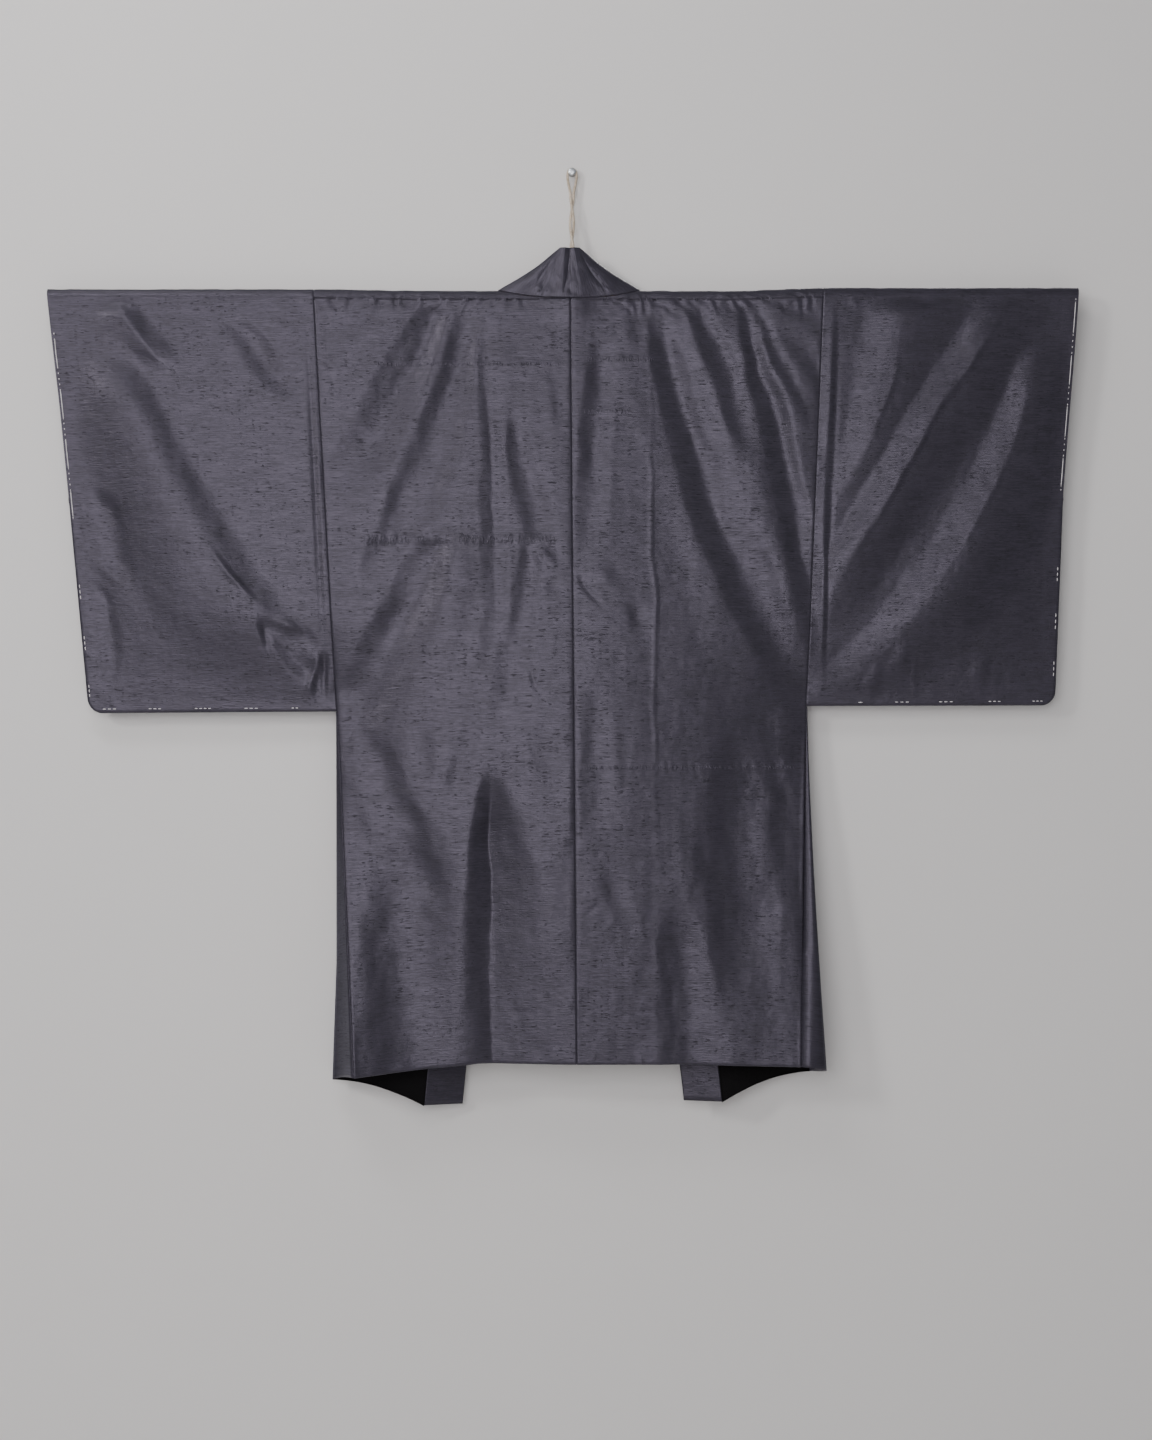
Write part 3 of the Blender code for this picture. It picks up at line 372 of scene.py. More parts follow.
# How creases are worked out: points to a curve, the share of it over which each end fades, how much
# wider a soft one is and how many half widths its line lies beside its bottom, the share of their
# height that soft and sharp ones keep, and the height below the rod over which all of them fade
CREASE_STEPS = 13
CREASE_FADE = 0.5
CREASE_SOFT_WIDTH = 2.0
CREASE_SOFT_SHIFT = 0.45
CREASE_SOFT_DEPTH = 0.62
CREASE_SHARP_DEPTH = 0.6
CREASE_ROOM_BELOW_ROD = 0.006

# Smooth unevenness: its height, the seed of its noise, and how far apart its swells are across and
# down. The fan's swells are in radians across; a relief's seed counts on from its panel's, and the
# height of its wider swells is a share of the panel's. The noise comes from a square lattice.
LATTICE = 64
Swell = namedtuple("Swell", "height seed across down")
WANDER_X = (Swell(0.0040, 11, 0.050, 0.060), Swell(0.0014, 12, 0.016, 0.020))
WANDER_Z = (Swell(0.0050, 13, 0.060, 0.050),)
PUCKER_JITTER = (Swell(0.55, 31, 0.014, 0.012), Swell(0.8, 34, 0.034, 0.050))
PUCKER_UNEVEN = (Swell(0.6, 32, 0.024, 0.050),)
PUCKER_SAG = (Swell(0.0020, 33, 0.030, 1.0),)
FAN_WAVES = (Swell(1, 61, math.radians(5.0), 0.33), Swell(0.45, 62, math.radians(2.5), 0.20))
WRAP_SWELLS = (Swell(0.00035, 83, 0.016, 0.009),)
COLLAR_SWELLS = (Swell(0.0005, 91, 0.014, 0.018), Swell(0.0003, 92, 0.006, 0.008))
RELIEF_WIDE = (Swell(1, 0, 0.024, 0.080), Swell(0.5, 1, 0.011, 0.028))
RELIEF_FINE = Swell(0.00010, 2, 0.006, 0.009)
CREASE_UNEVEN = Swell(0.4, 3, 0.030, 0.040)

# Each panel's first seed and its swells' height, which on the back grows from top to low
BACK_SEED, BACK_SWELLS = 3, (0.00016, 0.00042)
BACK_SWELLS_TOP_Z, BACK_SWELLS_GROW = -0.55, 0.25
FRONT_SEED, FRONT_SWELL = 23, 0.0003
SLEEVE_BACK_SEED, SLEEVE_FRONT_SEED, SLEEVE_SWELL = 43, 63, 0.00014

# Grid of the cloth, in metres: its steps on the seen and on the wall side, and its places near an
# edge
BODY_STEP = 0.0026
SLEEVE_STEP = 0.0026
BACK_ROW_STEP = 0.0036
FRONT_ROW_STEP = 0.0180
NEAR_EDGE = (0.0003, 0.0008, 0.0015, 0.0025, 0.0040)
NECK_STEPS = np.radians(np.linspace(90, 0, 25))
WRAP_STEPS = np.radians(np.linspace(0, 90, 9)[1:])
COLLAR_COLUMNS = 29
COLLAR_TURNS = 101
COLLAR_ROW_STEP = 0.006
GUSSET_ROWS = 120
GUSSET_COLUMNS = 9
GUSSET_FOLD_POWER = 1.3

# Seams: how far their pressed edges roll in, over which width, and the width without creases
SEAM_TUCK = 0.0013
SEAM_ROLL = 0.0020
HEM_TUCK = 0.0014
HEM_ROLL = 0.0030
SEAM_CALM = 0.006
SLEEVE_CALM = 0.008

# Over the rod: the share of a seam's roll that is left there, and the radius its swells turn at
WRAP_TUCK_SHARE = 0.6
WRAP_SWELL_RADIUS = 0.011

# Sleeves: the share of the depth left at a folded edge, and the heights over which the cuff's seam
# starts below its opening and the armhole's ends above the lower edge
FOLDED_EDGE_LEFT = 0.2
CUFF_SEAM_STARTS = 0.012
SEAM_ENDS_ABOVE_LOW = 0.010

# The least that the back and a sleeve stand from the plane of the rod's axis
LEAST_BACK_DEPTH = 0.0015
LEAST_SLEEVE_DEPTH = 0.0016


def smooth(t):
    """0 to 1 with no slope at either end."""
    t = np.clip(t, 0.0, 1.0)
    return t * t * (3 - 2 * t)


def quarter(distance, reach):
    """0 to 1 along a quarter circle, from an edge to reach from it."""
    share = np.clip(distance / reach, 0, 1)
    return np.sqrt(1 - (1 - share) ** 2)


def blend(low, high, share):
    return low + (high - low) * share


def through(start, middle, end, t):
    """The quadratic with these values at t = 0, 0.5 and 1."""
    return start + t * (4 * middle - 3 * start - end) + t * t * (2 * start + 2 * end - 4 * middle)


def fold_height(folds, x, z):
    """Metres that the folds move the cloth at x, z."""
    total = np.zeros(np.broadcast(x, z).shape)
    for fold in folds:
        t = (fold.top - z * 1000) / (fold.top - fold.low)
        inside = np.clip(t, 0, 1)
        middle = through(fold.x_top, fold.x_mid, fold.x_low, inside)
        ahead = through(fold.x_top, fold.x_mid, fold.x_low, inside + SLOPE_STEP)
        slope = (ahead - middle) / (SLOPE_STEP * (fold.top - fold.low))
        offset = (x * 1000 - middle) / np.sqrt(1 + slope**2)
        width = through(fold.w_top, fold.w_mid, fold.w_low, inside)
        flank = width * np.where(offset < 0, 1 + fold.lean, 1 - fold.lean)
        share = np.clip(np.abs(offset) / flank, 0, 1)
        across = blend((1 - share**2) ** 2, (1 - share) ** 2, fold.sharp)
        along = smooth(t / FOLD_FADE_TOP) * smooth((1 - t) / FOLD_FADE_LOW)
        total = total + fold.height / 1000 * across * along
    return total * smooth((ROD_Z - z) / FOLD_ROOM_BELOW_ROD)


def crease_height(creases, x, z):
    """Metres that the creases move the cloth at x, z."""
    x, z = (np.array(axis) * 1000 for axis in np.broadcast_arrays(x, z))
    total = np.zeros(x.shape)
    steps = np.linspace(0, 1, CREASE_STEPS)
    for crease in creases:
        soft = crease.sharp == 0
        half_width = crease.width * (CREASE_SOFT_WIDTH if soft else 1)
        line_x = through(crease.x0, crease.x1, crease.x2, steps)
        line_z = through(crease.z0, crease.z1, crease.z2, steps)
        reach = half_width * (1 + abs(crease.lean) + CREASE_SOFT_SHIFT)
        near = (x > line_x.min() - reach) & (x < line_x.max() + reach)
        near &= (z > line_z.min() - reach) & (z < line_z.max() + reach)
        px, pz = x[near], z[near]
        nearest = np.full(px.shape, np.inf)
        offset, place = np.zeros(px.shape), np.zeros(px.shape)
        for step, (start_x, start_z) in enumerate(zip(line_x[:-1], line_z[:-1])):
            run_x, run_z = line_x[step + 1] - start_x, line_z[step + 1] - start_z
            along = ((px - start_x) * run_x + (pz - start_z) * run_z) / (run_x**2 + run_z**2)
            along = np.clip(along, 0, 1)
            away_x, away_z = px - start_x - along * run_x, pz - start_z - along * run_z
            distance = np.hypot(away_x, away_z)
            closer = distance < nearest
            nearest = np.where(closer, distance, nearest)
            signed = distance * np.sign(away_z * run_x - away_x * run_z)
            offset = np.where(closer, signed, offset)
            place = np.where(closer, (step + along) / (CREASE_STEPS - 1), place)
        # a soft crease's line is where its left flank is steepest
        offset = offset - half_width * (CREASE_SOFT_SHIFT if soft else 0)
        flank = half_width * np.where(offset < 0, 1 + crease.lean, 1 - crease.lean)
        share = np.clip(np.abs(offset) / flank, 0, 1)
        across = blend((1 - share**2) ** 2, (1 - share) ** 2, crease.sharp)
        along = smooth(place / CREASE_FADE) * smooth((1 - place) / CREASE_FADE)
        height = crease.height * blend(CREASE_SOFT_DEPTH, CREASE_SHARP_DEPTH, crease.sharp)
        total[near] += height / 1000 * across * along
    return total


def pucker_height(puckers, x, z):
    """Metres that the rows of puckers move the cloth at x, z."""
    jitter = swells(PUCKER_JITTER, x, z)
    uneven = PUCKER_LEAST + swells(PUCKER_UNEVEN, x, z)
    sag = swells(PUCKER_SAG, x, z)
    total = np.zeros(uneven.shape)
    for row in puckers:
        away = (z + sag) * 1000 - row.z
        inside = smooth((x * 1000 - row.x_from) / PUCKER_END)
        inside = inside * smooth((row.x_to - x * 1000) / PUCKER_END)
        line = row.line * np.clip(1 - (away / PUCKER_LINE) ** 2, 0, 1)
        wave = np.cos(2 * math.pi * ((x * 1000 - row.slant * away) / row.pitch + jitter))
        ticks = row.ticks * uneven * wave * np.clip(1 - (away / row.reach) ** 2, 0, 1) ** 2
        total = total + inside * (line + ticks) / 1000
    return total


def drape(seed, x, z, across, down):
    """Smooth noise from -1 to 1 whose swells are that far apart across and down."""
    lattice = np.random.default_rng(seed).uniform(-1, 1, (LATTICE, LATTICE))
    u, v = np.broadcast_arrays(x / across, z / down)
    column, row = np.floor(u).astype(int), np.floor(v).astype(int)
    right, up = smooth(u - column), smooth(v - row)
    corner = {
        (i, j): lattice[(column + i) % LATTICE, (row + j) % LATTICE]
        for i in (0, 1)
        for j in (0, 1)
    }
    low = blend(corner[0, 0], corner[1, 0], right)
    return blend(low, blend(corner[0, 1], corner[1, 1], right), up)


def swells(rows, x, z):
    """Metres that the swells of these rows move the cloth at x, z."""
    return sum(row.height * drape(row.seed, x, z, row.across, row.down) for row in rows)


def wander(x, z):
    """x and z moved by a few millimetres, so that folds and creases run unevenly."""
    return x + swells(WANDER_X, x, z), z + swells(WANDER_Z, x, z)


def fan(x, z):
    """Soft waves, from -1 to 1, that spread from the neck down over the back."""
    run_x, run_z = x - FAN_PLACE[0], FAN_PLACE[1] - z
    turn, reach = np.arctan2(run_x, run_z), np.hypot(run_x, run_z)
    return swells(FAN_WAVES, turn, reach) * smooth((reach - FAN_STARTS) / FAN_GROWS)


def hang(z, hem_z):
    """0 at the rod, 1 at the hem."""
    return np.clip((ROD_Z - z) / (ROD_Z - hem_z), 0, 1)


def centre_x(z):
    return blend(CENTRE_TOP_X, CENTRE_HEM_X, (z - SHOULDER_Z) / (CENTRE_HEM_Z - SHOULDER_Z))


def back_side_x(side, z):
    """The seam down a back panel's side: the sleeve's above the armpit, the gusset's below."""
    levels = (side.back_hem_z, side.armpit_z, SHOULDER_Z)
    return np.interp(z, levels, (side.back_hem_x, side.armpit_x, side.seam_top_x))


def front_side_x(side, z):
    levels = (side.front_hem_z, FRONT_MID_Z, side.armpit_z, SHOULDER_Z)
    seam = (side.front_hem_x, side.front_mid_x, side.armpit_x, side.seam_top_x)
    return np.interp(z, levels, seam)


def front_edge_x(side, z):
    """The collar's seam down the front."""
    share = (z - SHOULDER_Z) / (side.edge_hem_z - SHOULDER_Z)
    return blend(side.neck_x, side.edge_hem_x, share)


def back_hem_z(side, share):
    """share 0 at the side seam, 1 at the centre."""
    return blend(side.back_hem_z, CENTRE_HEM_Z, np.clip(share * BACK_HEM_STRAIGHTENS, 0, 1))


def front_hem_z(side, share):
    """share 0 at the side seam, 1 at the collar."""
    return blend(side.front_hem_z, side.edge_hem_z, share**FRONT_HEM_POWER)


def armhole_half_gap(side, z):
    """Half the space between back and front along the sleeve's seam."""
    return blend(EDGE_HALF_GAP, WRAP_RADIUS, smooth((z - side.armpit_z) / CLOSING_WIDTH))


def seam_depth(side, z, hem_depth, hem_z):
    """How far a side seam stands from the plane of the rod's axis."""
    below = np.clip((side.armpit_z - z) / (side.armpit_z - hem_z), 0, 1)
    flare = (hem_depth - EDGE_HALF_GAP) * below**FLARE_POWER
    return armhole_half_gap(side, z) + flare


def twine_room(x, z):
    across, down = x / TWINE_ROOM_SPREAD[0], (z - ROD_Z) / TWINE_ROOM_SPREAD[1]
    return TWINE_ROOM * np.exp(-(across**2) - down**2)


def body_back_depth(side, x, z):
    """The back panel's distance from the plane of the rod's axis, without its folds."""
    middle = WRAP_RADIUS + (CENTRE_HEM_DEPTH - WRAP_RADIUS) * hang(z, CENTRE_HEM_Z) ** FLARE_POWER
    at_side = seam_depth(side, z, side.back_hem_depth, side.back_hem_z)
    share = np.abs((x - centre_x(z)) / (back_side_x(side, z) - centre_x(z)))
    return blend(middle, at_side, np.clip(share, 0, 1) ** BACK_CROWN_POWER)


def panel_relief(x, z, creases, seed, swell):
    """Metres that creases, and swells of about that size between them, move the cloth."""

    def noise(row):
        return row.height * drape(seed + row.seed, x, z, row.across, row.down)

    rise = swell * sum(noise(row) for row in RELIEF_WIDE) + noise(RELIEF_FINE)
    rise = rise + crease_height(creases, *wander(x, z)) * (1 + noise(CREASE_UNEVEN))
    return rise * smooth((ROD_Z - z) / CREASE_ROOM_BELOW_ROD)


def tuck(distance, depth, width):
    """How far a pressed or sewn edge rolls in, at that distance from it."""
    return depth * (1 - quarter(distance, width))


def body_back_y(side, x, z, edge, hem):
    """edge and hem are the distances to the nearest seam and to the hem."""
    depth = body_back_depth(side, x, z)
    depth = np.maximum(depth + fold_height(BACK_FOLDS, *wander(x, z)), LEAST_HALF_GAP)
    calm = smooth(edge / SEAM_CALM)
    depth = depth + FAN_HEIGHT * fan(x, z) * smooth((ROD_Z - z) / FOLD_ROOM_BELOW_ROD) * calm
    swell = blend(*BACK_SWELLS, smooth((BACK_SWELLS_TOP_Z - z) / BACK_SWELLS_GROW))
    relief = panel_relief(x, z, BODY_CREASES, BACK_SEED, swell)
    depth = depth + (relief + pucker_height(BODY_PUCKERS, x, z)) * calm
    depth = depth - tuck(edge, SEAM_TUCK, SEAM_ROLL) - tuck(hem, HEM_TUCK, HEM_ROLL)
    return ROD_Y - np.maximum(depth, LEAST_BACK_DEPTH) - twine_room(x, z)


def body_front_y(side, x, z, edge, hem):
    fall = hang(z, side.edge_hem_z) ** FRONT_FALL_POWER
    at_edge = blend(WRAP_RADIUS, side.edge_hem_y - ROD_Y, fall)
    at_side = seam_depth(side, z, side.front_hem_depth, side.front_hem_z)
    inner = front_edge_x(side, z)
    share = np.clip((x - inner) / (front_side_x(side, z) - inner), 0, 1)
    depth = blend(at_edge, at_side, share**FRONT_SIDE_POWER)
    depth = depth + fold_height(FRONT_FOLDS, x, z) * smooth(share * FRONT_EDGE_CALM)
    depth = depth + panel_relief(x, z, (), FRONT_SEED, FRONT_SWELL) * smooth(edge / SEAM_CALM)
    return ROD_Y + depth - tuck(edge, SEAM_TUCK, SEAM_ROLL) - tuck(hem, HEM_TUCK, HEM_ROLL)


def sleeve_low_z(side, share):
    """The sleeve's lower edge: share 0 at the armhole seam, 1 at the cuff."""
    return blend(side.armpit_z, side.sleeve_low_z, share)


def cuff_x(side, z):
    """The sleeve's outer edge, with its rounded lower corner."""
    low = side.sleeve_low_z
    straight = np.interp(
        z, (low, side.cuff_mid_z, SHOULDER_Z), (side.cuff_low_x, side.cuff_mid_x, side.cuff_top_x)
    )
    into_corner = np.clip((low + SLEEVE_CORNER - z) / SLEEVE_CORNER, 0, 1)
    return straight - side.sign * SLEEVE_CORNER * (1 - np.sqrt(1 - into_corner**2))


def sleeve_half_gap(side, x, z):
    """Half the space between the sleeve's layers, which close to its lower and outer edges."""
    share = (x - side.armpit_x) / (side.cuff_low_x - side.armpit_x)
    low = sleeve_low_z(side, np.clip(share, 0, 1))
    from_low = smooth((z - low) / CLOSING_WIDTH)
    from_cuff = smooth(side.sign * (cuff_x(side, z) - x) / CLOSING_WIDTH)
    closed = smooth((SHOULDER_Z - z) / CUFF_OPENING)
    return blend(EDGE_HALF_GAP, WRAP_RADIUS, from_low * (1 - closed * (1 - from_cuff)))


def sleeve_edges(side, x, z):
    """Distances to the sleeve's lower edge, to its outer edge and to its armhole seam."""
    share = np.clip((x - side.armpit_x) / (side.cuff_low_x - side.armpit_x), 0, 1)
    seam = side.sign * (x - back_side_x(side, z))
    return z - sleeve_low_z(side, share), side.sign * (cuff_x(side, z) - x), seam


def sleeve_depth(side, x, z, folds, creases, seed):
    """Half the space between the layers, with folds, creases and the roll of each edge."""
    from_low, from_cuff, from_seam = sleeve_edges(side, x, z)
    fade = smooth(np.minimum(from_low, from_cuff) / SLEEVE_FOLDS_FADE)
    depth = sleeve_half_gap(side, x, z) + fold_height(folds, *wander(x, z)) * fade
    depth = np.maximum(depth, LEAST_HALF_GAP)
    calm = smooth(np.minimum(np.minimum(from_low, from_cuff), from_seam) / SLEEVE_CALM)
    depth = depth + panel_relief(x, z, creases, seed, SLEEVE_SWELL) * calm
    if creases:
        below_rod = smooth((ROD_Z - z) / CREASE_ROOM_BELOW_ROD)
        depth = depth + crease_height(SEAM_CREASES, x, z) * below_rod * calm
    depth = np.maximum(depth, LEAST_SLEEVE_DEPTH)
    sewn_cuff = smooth((SHOULDER_Z - CUFF_OPENING - z) / CUFF_SEAM_STARTS)
    cuff = blend(1, quarter(from_cuff, EDGE_HALF_GAP), sewn_cuff)
    closed = np.minimum(quarter(from_low, EDGE_HALF_GAP), cuff)
    depth = depth * blend(FOLDED_EDGE_LEFT, 1, closed)
    return depth - tuck(from_seam, SEAM_TUCK, SEAM_ROLL) * smooth(from_low / SEAM_ENDS_ABOVE_LOW)


def sleeve_back_y(side, x, z):
    return ROD_Y - sleeve_depth(side, x, z, BACK_FOLDS, SLEEVE_CREASES, SLEEVE_BACK_SEED)


def sleeve_front_y(side, x, z):
    return ROD_Y + sleeve_depth(side, x, z, FRONT_FOLDS, (), SLEEVE_FRONT_SEED)


def points(side, x, y, z):
    """Places on the cloth, raised where the sleeve's pressed fold stands above the rod."""
    start, full = PRESSED_FOLD_X
    outward = smooth((side.sign * x - start) / (full - start))
    upward = smooth(1 - (SHOULDER_Z - z) / PRESSED_FOLD_DEPTH)
    return np.stack(np.broadcast_arrays(x, y, z + side.pressed_rise * outward * upward), axis=-1)


def spread(length, step, near_start, near_end):
    """Shares of a length: even steps, with more places near an end where asked."""
    near = np.array(NEAR_EDGE) / length
    start = near[-1] if near_start else 0
    end = 1 - near[-1] if near_end else 1
    even = np.linspace(start, end, max(2, int(round(length * (end - start) / step)) + 1))
    parts = [[0], near[:-1]] if near_start else []
    parts.append(even)
    parts += [1 - near[:-1][::-1], [1]] if near_end else []
    return np.concatenate(parts)


def wrap_radius(x, edge, angle):
    """How far from the rod's axis the cloth goes over it, at that distance from a seam."""
    radius = WRAP_RADIUS - tuck(edge, SEAM_TUCK, SEAM_ROLL) * WRAP_TUCK_SHARE
    return radius + swells(WRAP_SWELLS, x, np.full_like(x, angle * WRAP_SWELL_RADIUS))


def neck_seam(side, turn):
    """The neck seam over the rod: its angle behind the crest, and x. turn 0 is the centre back."""
    angle = math.pi / 2 * math.cos(turn)
    return angle, blend(CENTRE_TOP_X, side.neck_x, math.sin(turn))


def body_sections(side):
    """Rows of one body panel, from the back hem over the shoulder to the front hem."""
    width = abs(side.seam_top_x)
    share = spread(width, BODY_STEP, True, True)
    half_seam = side.sign * SEAM_GAP / 2
    rows = []

    def panel(hem_z, row_step, side_x_of, inner_x_of, y_of):
        upper = spread(ROD_Z - side.armpit_z, row_step, False, False)
        lower = spread(side.armpit_z - side.back_hem_z, row_step, False, True)[1:]
        level = np.full_like(hem_z, side.armpit_z)
        z = np.array([blend(ROD_Z, level, fall) for fall in upper]
                     + [blend(level, hem_z, fall) for fall in lower])
        outer, inner = side_x_of(z) - half_seam, inner_x_of(z)
        x = blend(outer, inner, share)
        edge = np.minimum(np.abs(x - outer), np.abs(x - inner))
        return points(side, x, y_of(side, x, z, edge, z - hem_z), z)

    back = panel(back_hem_z(side, share), BACK_ROW_STEP, lambda z: back_side_x(side, z),
                 lambda z: centre_x(z) + half_seam, body_back_y)
    front = panel(front_hem_z(side, share), FRONT_ROW_STEP, lambda z: front_side_x(side, z),
                  lambda z: front_edge_x(side, z), body_front_y)

    def wrap_row(angle, z, outer, inner, sign, room):
        x = blend(outer, inner, share)
        edge = np.minimum(np.abs(x - outer), np.abs(x - inner))
        radius = wrap_radius(x, edge, angle)
        if sign > 0:
            puckers = np.maximum(pucker_height(BODY_PUCKERS, x, z), 0)
            radius = radius + puckers * math.sin(angle) ** 2
        y = ROD_Y - sign * radius * math.sin(angle) - room(x, z)
        return points(side, x, y, np.full_like(x, ROD_Z) + radius * math.cos(angle))

    for turn in np.pi / 2 - NECK_STEPS[1:]:
        angle, inner = neck_seam(side, turn)
        z = ROD_Z + WRAP_RADIUS * math.cos(angle)
        rows.append(wrap_row(angle, z, back_side_x(side, z) - half_seam, inner, 1, twine_room))
    for angle in WRAP_STEPS[:-1]:
        z = ROD_Z + WRAP_RADIUS * math.cos(angle)
        outer, inner = front_side_x(side, z) - half_seam, front_edge_x(side, z)
        rows.append(wrap_row(angle, z, outer, inner, -1, lambda x, z: 0))
    return np.concatenate((back[::-1], np.array(rows), front))


def sleeve_sections(side):
    """Rows of a sleeve, from its lower edge up the back, over the shoulder and down the front."""
    width = abs(side.cuff_low_x - side.armpit_x)
    share = spread(width, SLEEVE_STEP, True, True)
    half_seam = side.sign * SEAM_GAP / 2
    low = sleeve_low_z(side, share)
    height = ROD_Z - side.sleeve_low_z

    def rows(falls, y_of):
        z = np.array([blend(ROD_Z, low, fall) for fall in falls])
        x = blend(back_side_x(side, z) + half_seam, cuff_x(side, z), share)
        return points(side, x, y_of(side, x, z), z)

    back = rows(spread(height, BACK_ROW_STEP, False, True)[::-1], sleeve_back_y)
    front = rows(spread(height, FRONT_ROW_STEP, False, True), sleeve_front_y)
    over = []
    for angle in np.concatenate((WRAP_STEPS[-2::-1], [0], -WRAP_STEPS[:-1])):
        z = np.full(len(share), ROD_Z + WRAP_RADIUS * math.cos(angle))
        x = blend(back_side_x(side, z) + half_seam, cuff_x(side, z), share)
        radius = wrap_radius(x, np.abs(x - x[0]), angle)
        y = ROD_Y - radius * math.sin(angle)
        over.append(points(side, x, y, ROD_Z + radius * math.cos(angle)))
    return np.concatenate((back, np.array(over), front))


def sleeve_closing(sections):
    """Pairs of a back and a front point, along the lower edge and up to the cuff's opening."""
    rows, columns = sections.shape[:2]
    low = [((0, column), (rows - 1, column)) for column in range(columns)]
    closed_below = SHOULDER_Z - CUFF_OPENING
    back = [row for row in range(1, rows // 2) if sections[row, -1, 2] < closed_below]
    front = [row for row in range(rows - 2, rows // 2, -1) if sections[row, -1, 2] < closed_below]
    return low, ([(row, columns - 1) for row in back], [(row, columns - 1) for row in front])


def gusset_edge(corner, toward, sign):
    """A point of the gusset's edge, clear of a panel's corner on the side that faces outward."""
    run = (toward - corner)[:2]
    outward = np.array((run[1], -run[0])) / np.linalg.norm(run)
    outward *= sign if outward[0] > 0 else -sign
    return corner + np.append(outward * (CLOTH / 2 + GUSSET_GAP), 0)


def gusset_sections(side):
    """Rows of the strip between a back and a front panel, from the armpit to the hem."""
    rows = []
    top = side.armpit_z - CLOTH / 2 - SEAM_GAP
    shares = np.linspace(0, 1, GUSSET_COLUMNS)[:, None]
    for fall in np.linspace(0, 1, GUSSET_ROWS):
        back_z = blend(top, side.back_hem_z, fall)
        front_z = blend(top, side.front_hem_z, fall)
        back_x, front_x = back_side_x(side, back_z), front_side_x(side, front_z)
        back_depth = body_back_depth(side, back_x, back_z)
        back_depth = back_depth + fold_height(BACK_FOLDS, *wander(back_x, back_z))
        back_y = ROD_Y - max(float(back_depth), LEAST_HALF_GAP) + SEAM_TUCK
        front_y = ROD_Y + float(seam_depth(side, front_z, side.front_hem_depth, side.front_hem_z))
        back = np.array((back_x, back_y + CLOTH / 2, back_z))
        front = np.array((front_x, front_y - SEAM_TUCK - CLOTH / 2, front_z))
        straight = (back + front) / 2 + (side.sign * (CLOTH / 2 + SEAM_GAP), 0, 0)
        fold = np.array((side.gusset_fold_x, side.gusset_fold_y, straight[2]))
        middle = blend(straight, fold, fall**GUSSET_FOLD_POWER)
        ends = gusset_edge(back, middle, side.sign), gusset_edge(front, middle, side.sign)
        rows.append(through(ends[0], middle, ends[1], shares))
    return np.array(rows)


def collar_back_row(side, turn):
    """Seam and free edge of the collar behind the neck, from turn 0, the centre, to pi / 2."""
    angle, x = neck_seam(side, turn)
    back, up = COLLAR_RADIUS * math.sin(angle), COLLAR_RADIUS * math.cos(angle)
    seam = np.array((x, ROD_Y - back, ROD_Z + up))
    seam[1] -= twine_room(seam[0], seam[2])
    share = turn / (math.pi / 2)
    reach = abs(side.neck_x - CENTRE_TOP_X)
    inward = blend(0, reach - NECK_EDGE_INWARD, share)
    rise = PEAK_HEIGHT * min(1, (reach - inward) / (reach - PEAK_HALF_WIDTH)) ** FLANK_POWER
    valley = VALLEY_DEPTH * max(0, 1 - turn / VALLEY_TURN)
    depth = blend(PEAK_Y, NECK_EDGE_Y, share**NECK_EDGE_POWER) + valley
    middle = blend(PEAK_X, CENTRE_TOP_X, share)
    edge = np.array((middle + side.sign * inward, depth, SHOULDER_Z + rise))
    return seam, edge


def collar_front_row(side, seam):
    """The seam point and the free edge of the collar on the front."""
    shoulder_seam, shoulder_edge = collar_back_row(side, math.pi / 2)
    start = shoulder_edge - shoulder_seam
    run = (SHOULDER_Z - seam[2]) / (SHOULDER_Z - side.edge_hem_z)
    turned = smooth((SHOULDER_Z - seam[2]) / COLLAR_TURN_LENGTH)
    angle = blend(math.atan2(start[2], abs(start[0])), 0, turned)
    width = blend(math.hypot(start[0], start[2]), COLLAR_WIDTH_SHOULDER, turned)
    width = blend(width, COLLAR_WIDTH_HEM, run)
    at_hem = side.edge_free_y - side.edge_hem_y
    toward_wall = blend(blend(start[1], COLLAR_LEAN, turned), at_hem, smooth(run * COLLAR_TWIST))
    inward = -side.sign * width * math.cos(angle)
    return seam, seam + np.array((inward, toward_wall, width * math.sin(angle)))


def collar_front_seams(side):
    """The collar's seam from the shoulder down the front: over the rod, then down to the hem."""
    seams = []
    for angle in WRAP_STEPS:
        x = front_edge_x(side, ROD_Z + WRAP_RADIUS * math.cos(angle))
        back, up = COLLAR_RADIUS * math.sin(angle), COLLAR_RADIUS * math.cos(angle)
        seams.append(np.array((x, ROD_Y + back, ROD_Z + up)))
    length = SHOULDER_Z - side.edge_hem_z
    for run in np.linspace(COLLAR_RUN_STARTS, 1, int(length / COLLAR_ROW_STEP)):
        z = blend(SHOULDER_Z, side.edge_hem_z, run)
        x = front_edge_x(side, z)
        y = float(body_front_y(side, x, z, 1, 1)) + COLLAR_RADIUS - WRAP_RADIUS
        closer = side.sign * COLLAR_FRONT_CLOSER * smooth(run / COLLAR_CLOSER_BY)
        seams.append(np.array((x + closer, y, z)))
    return seams


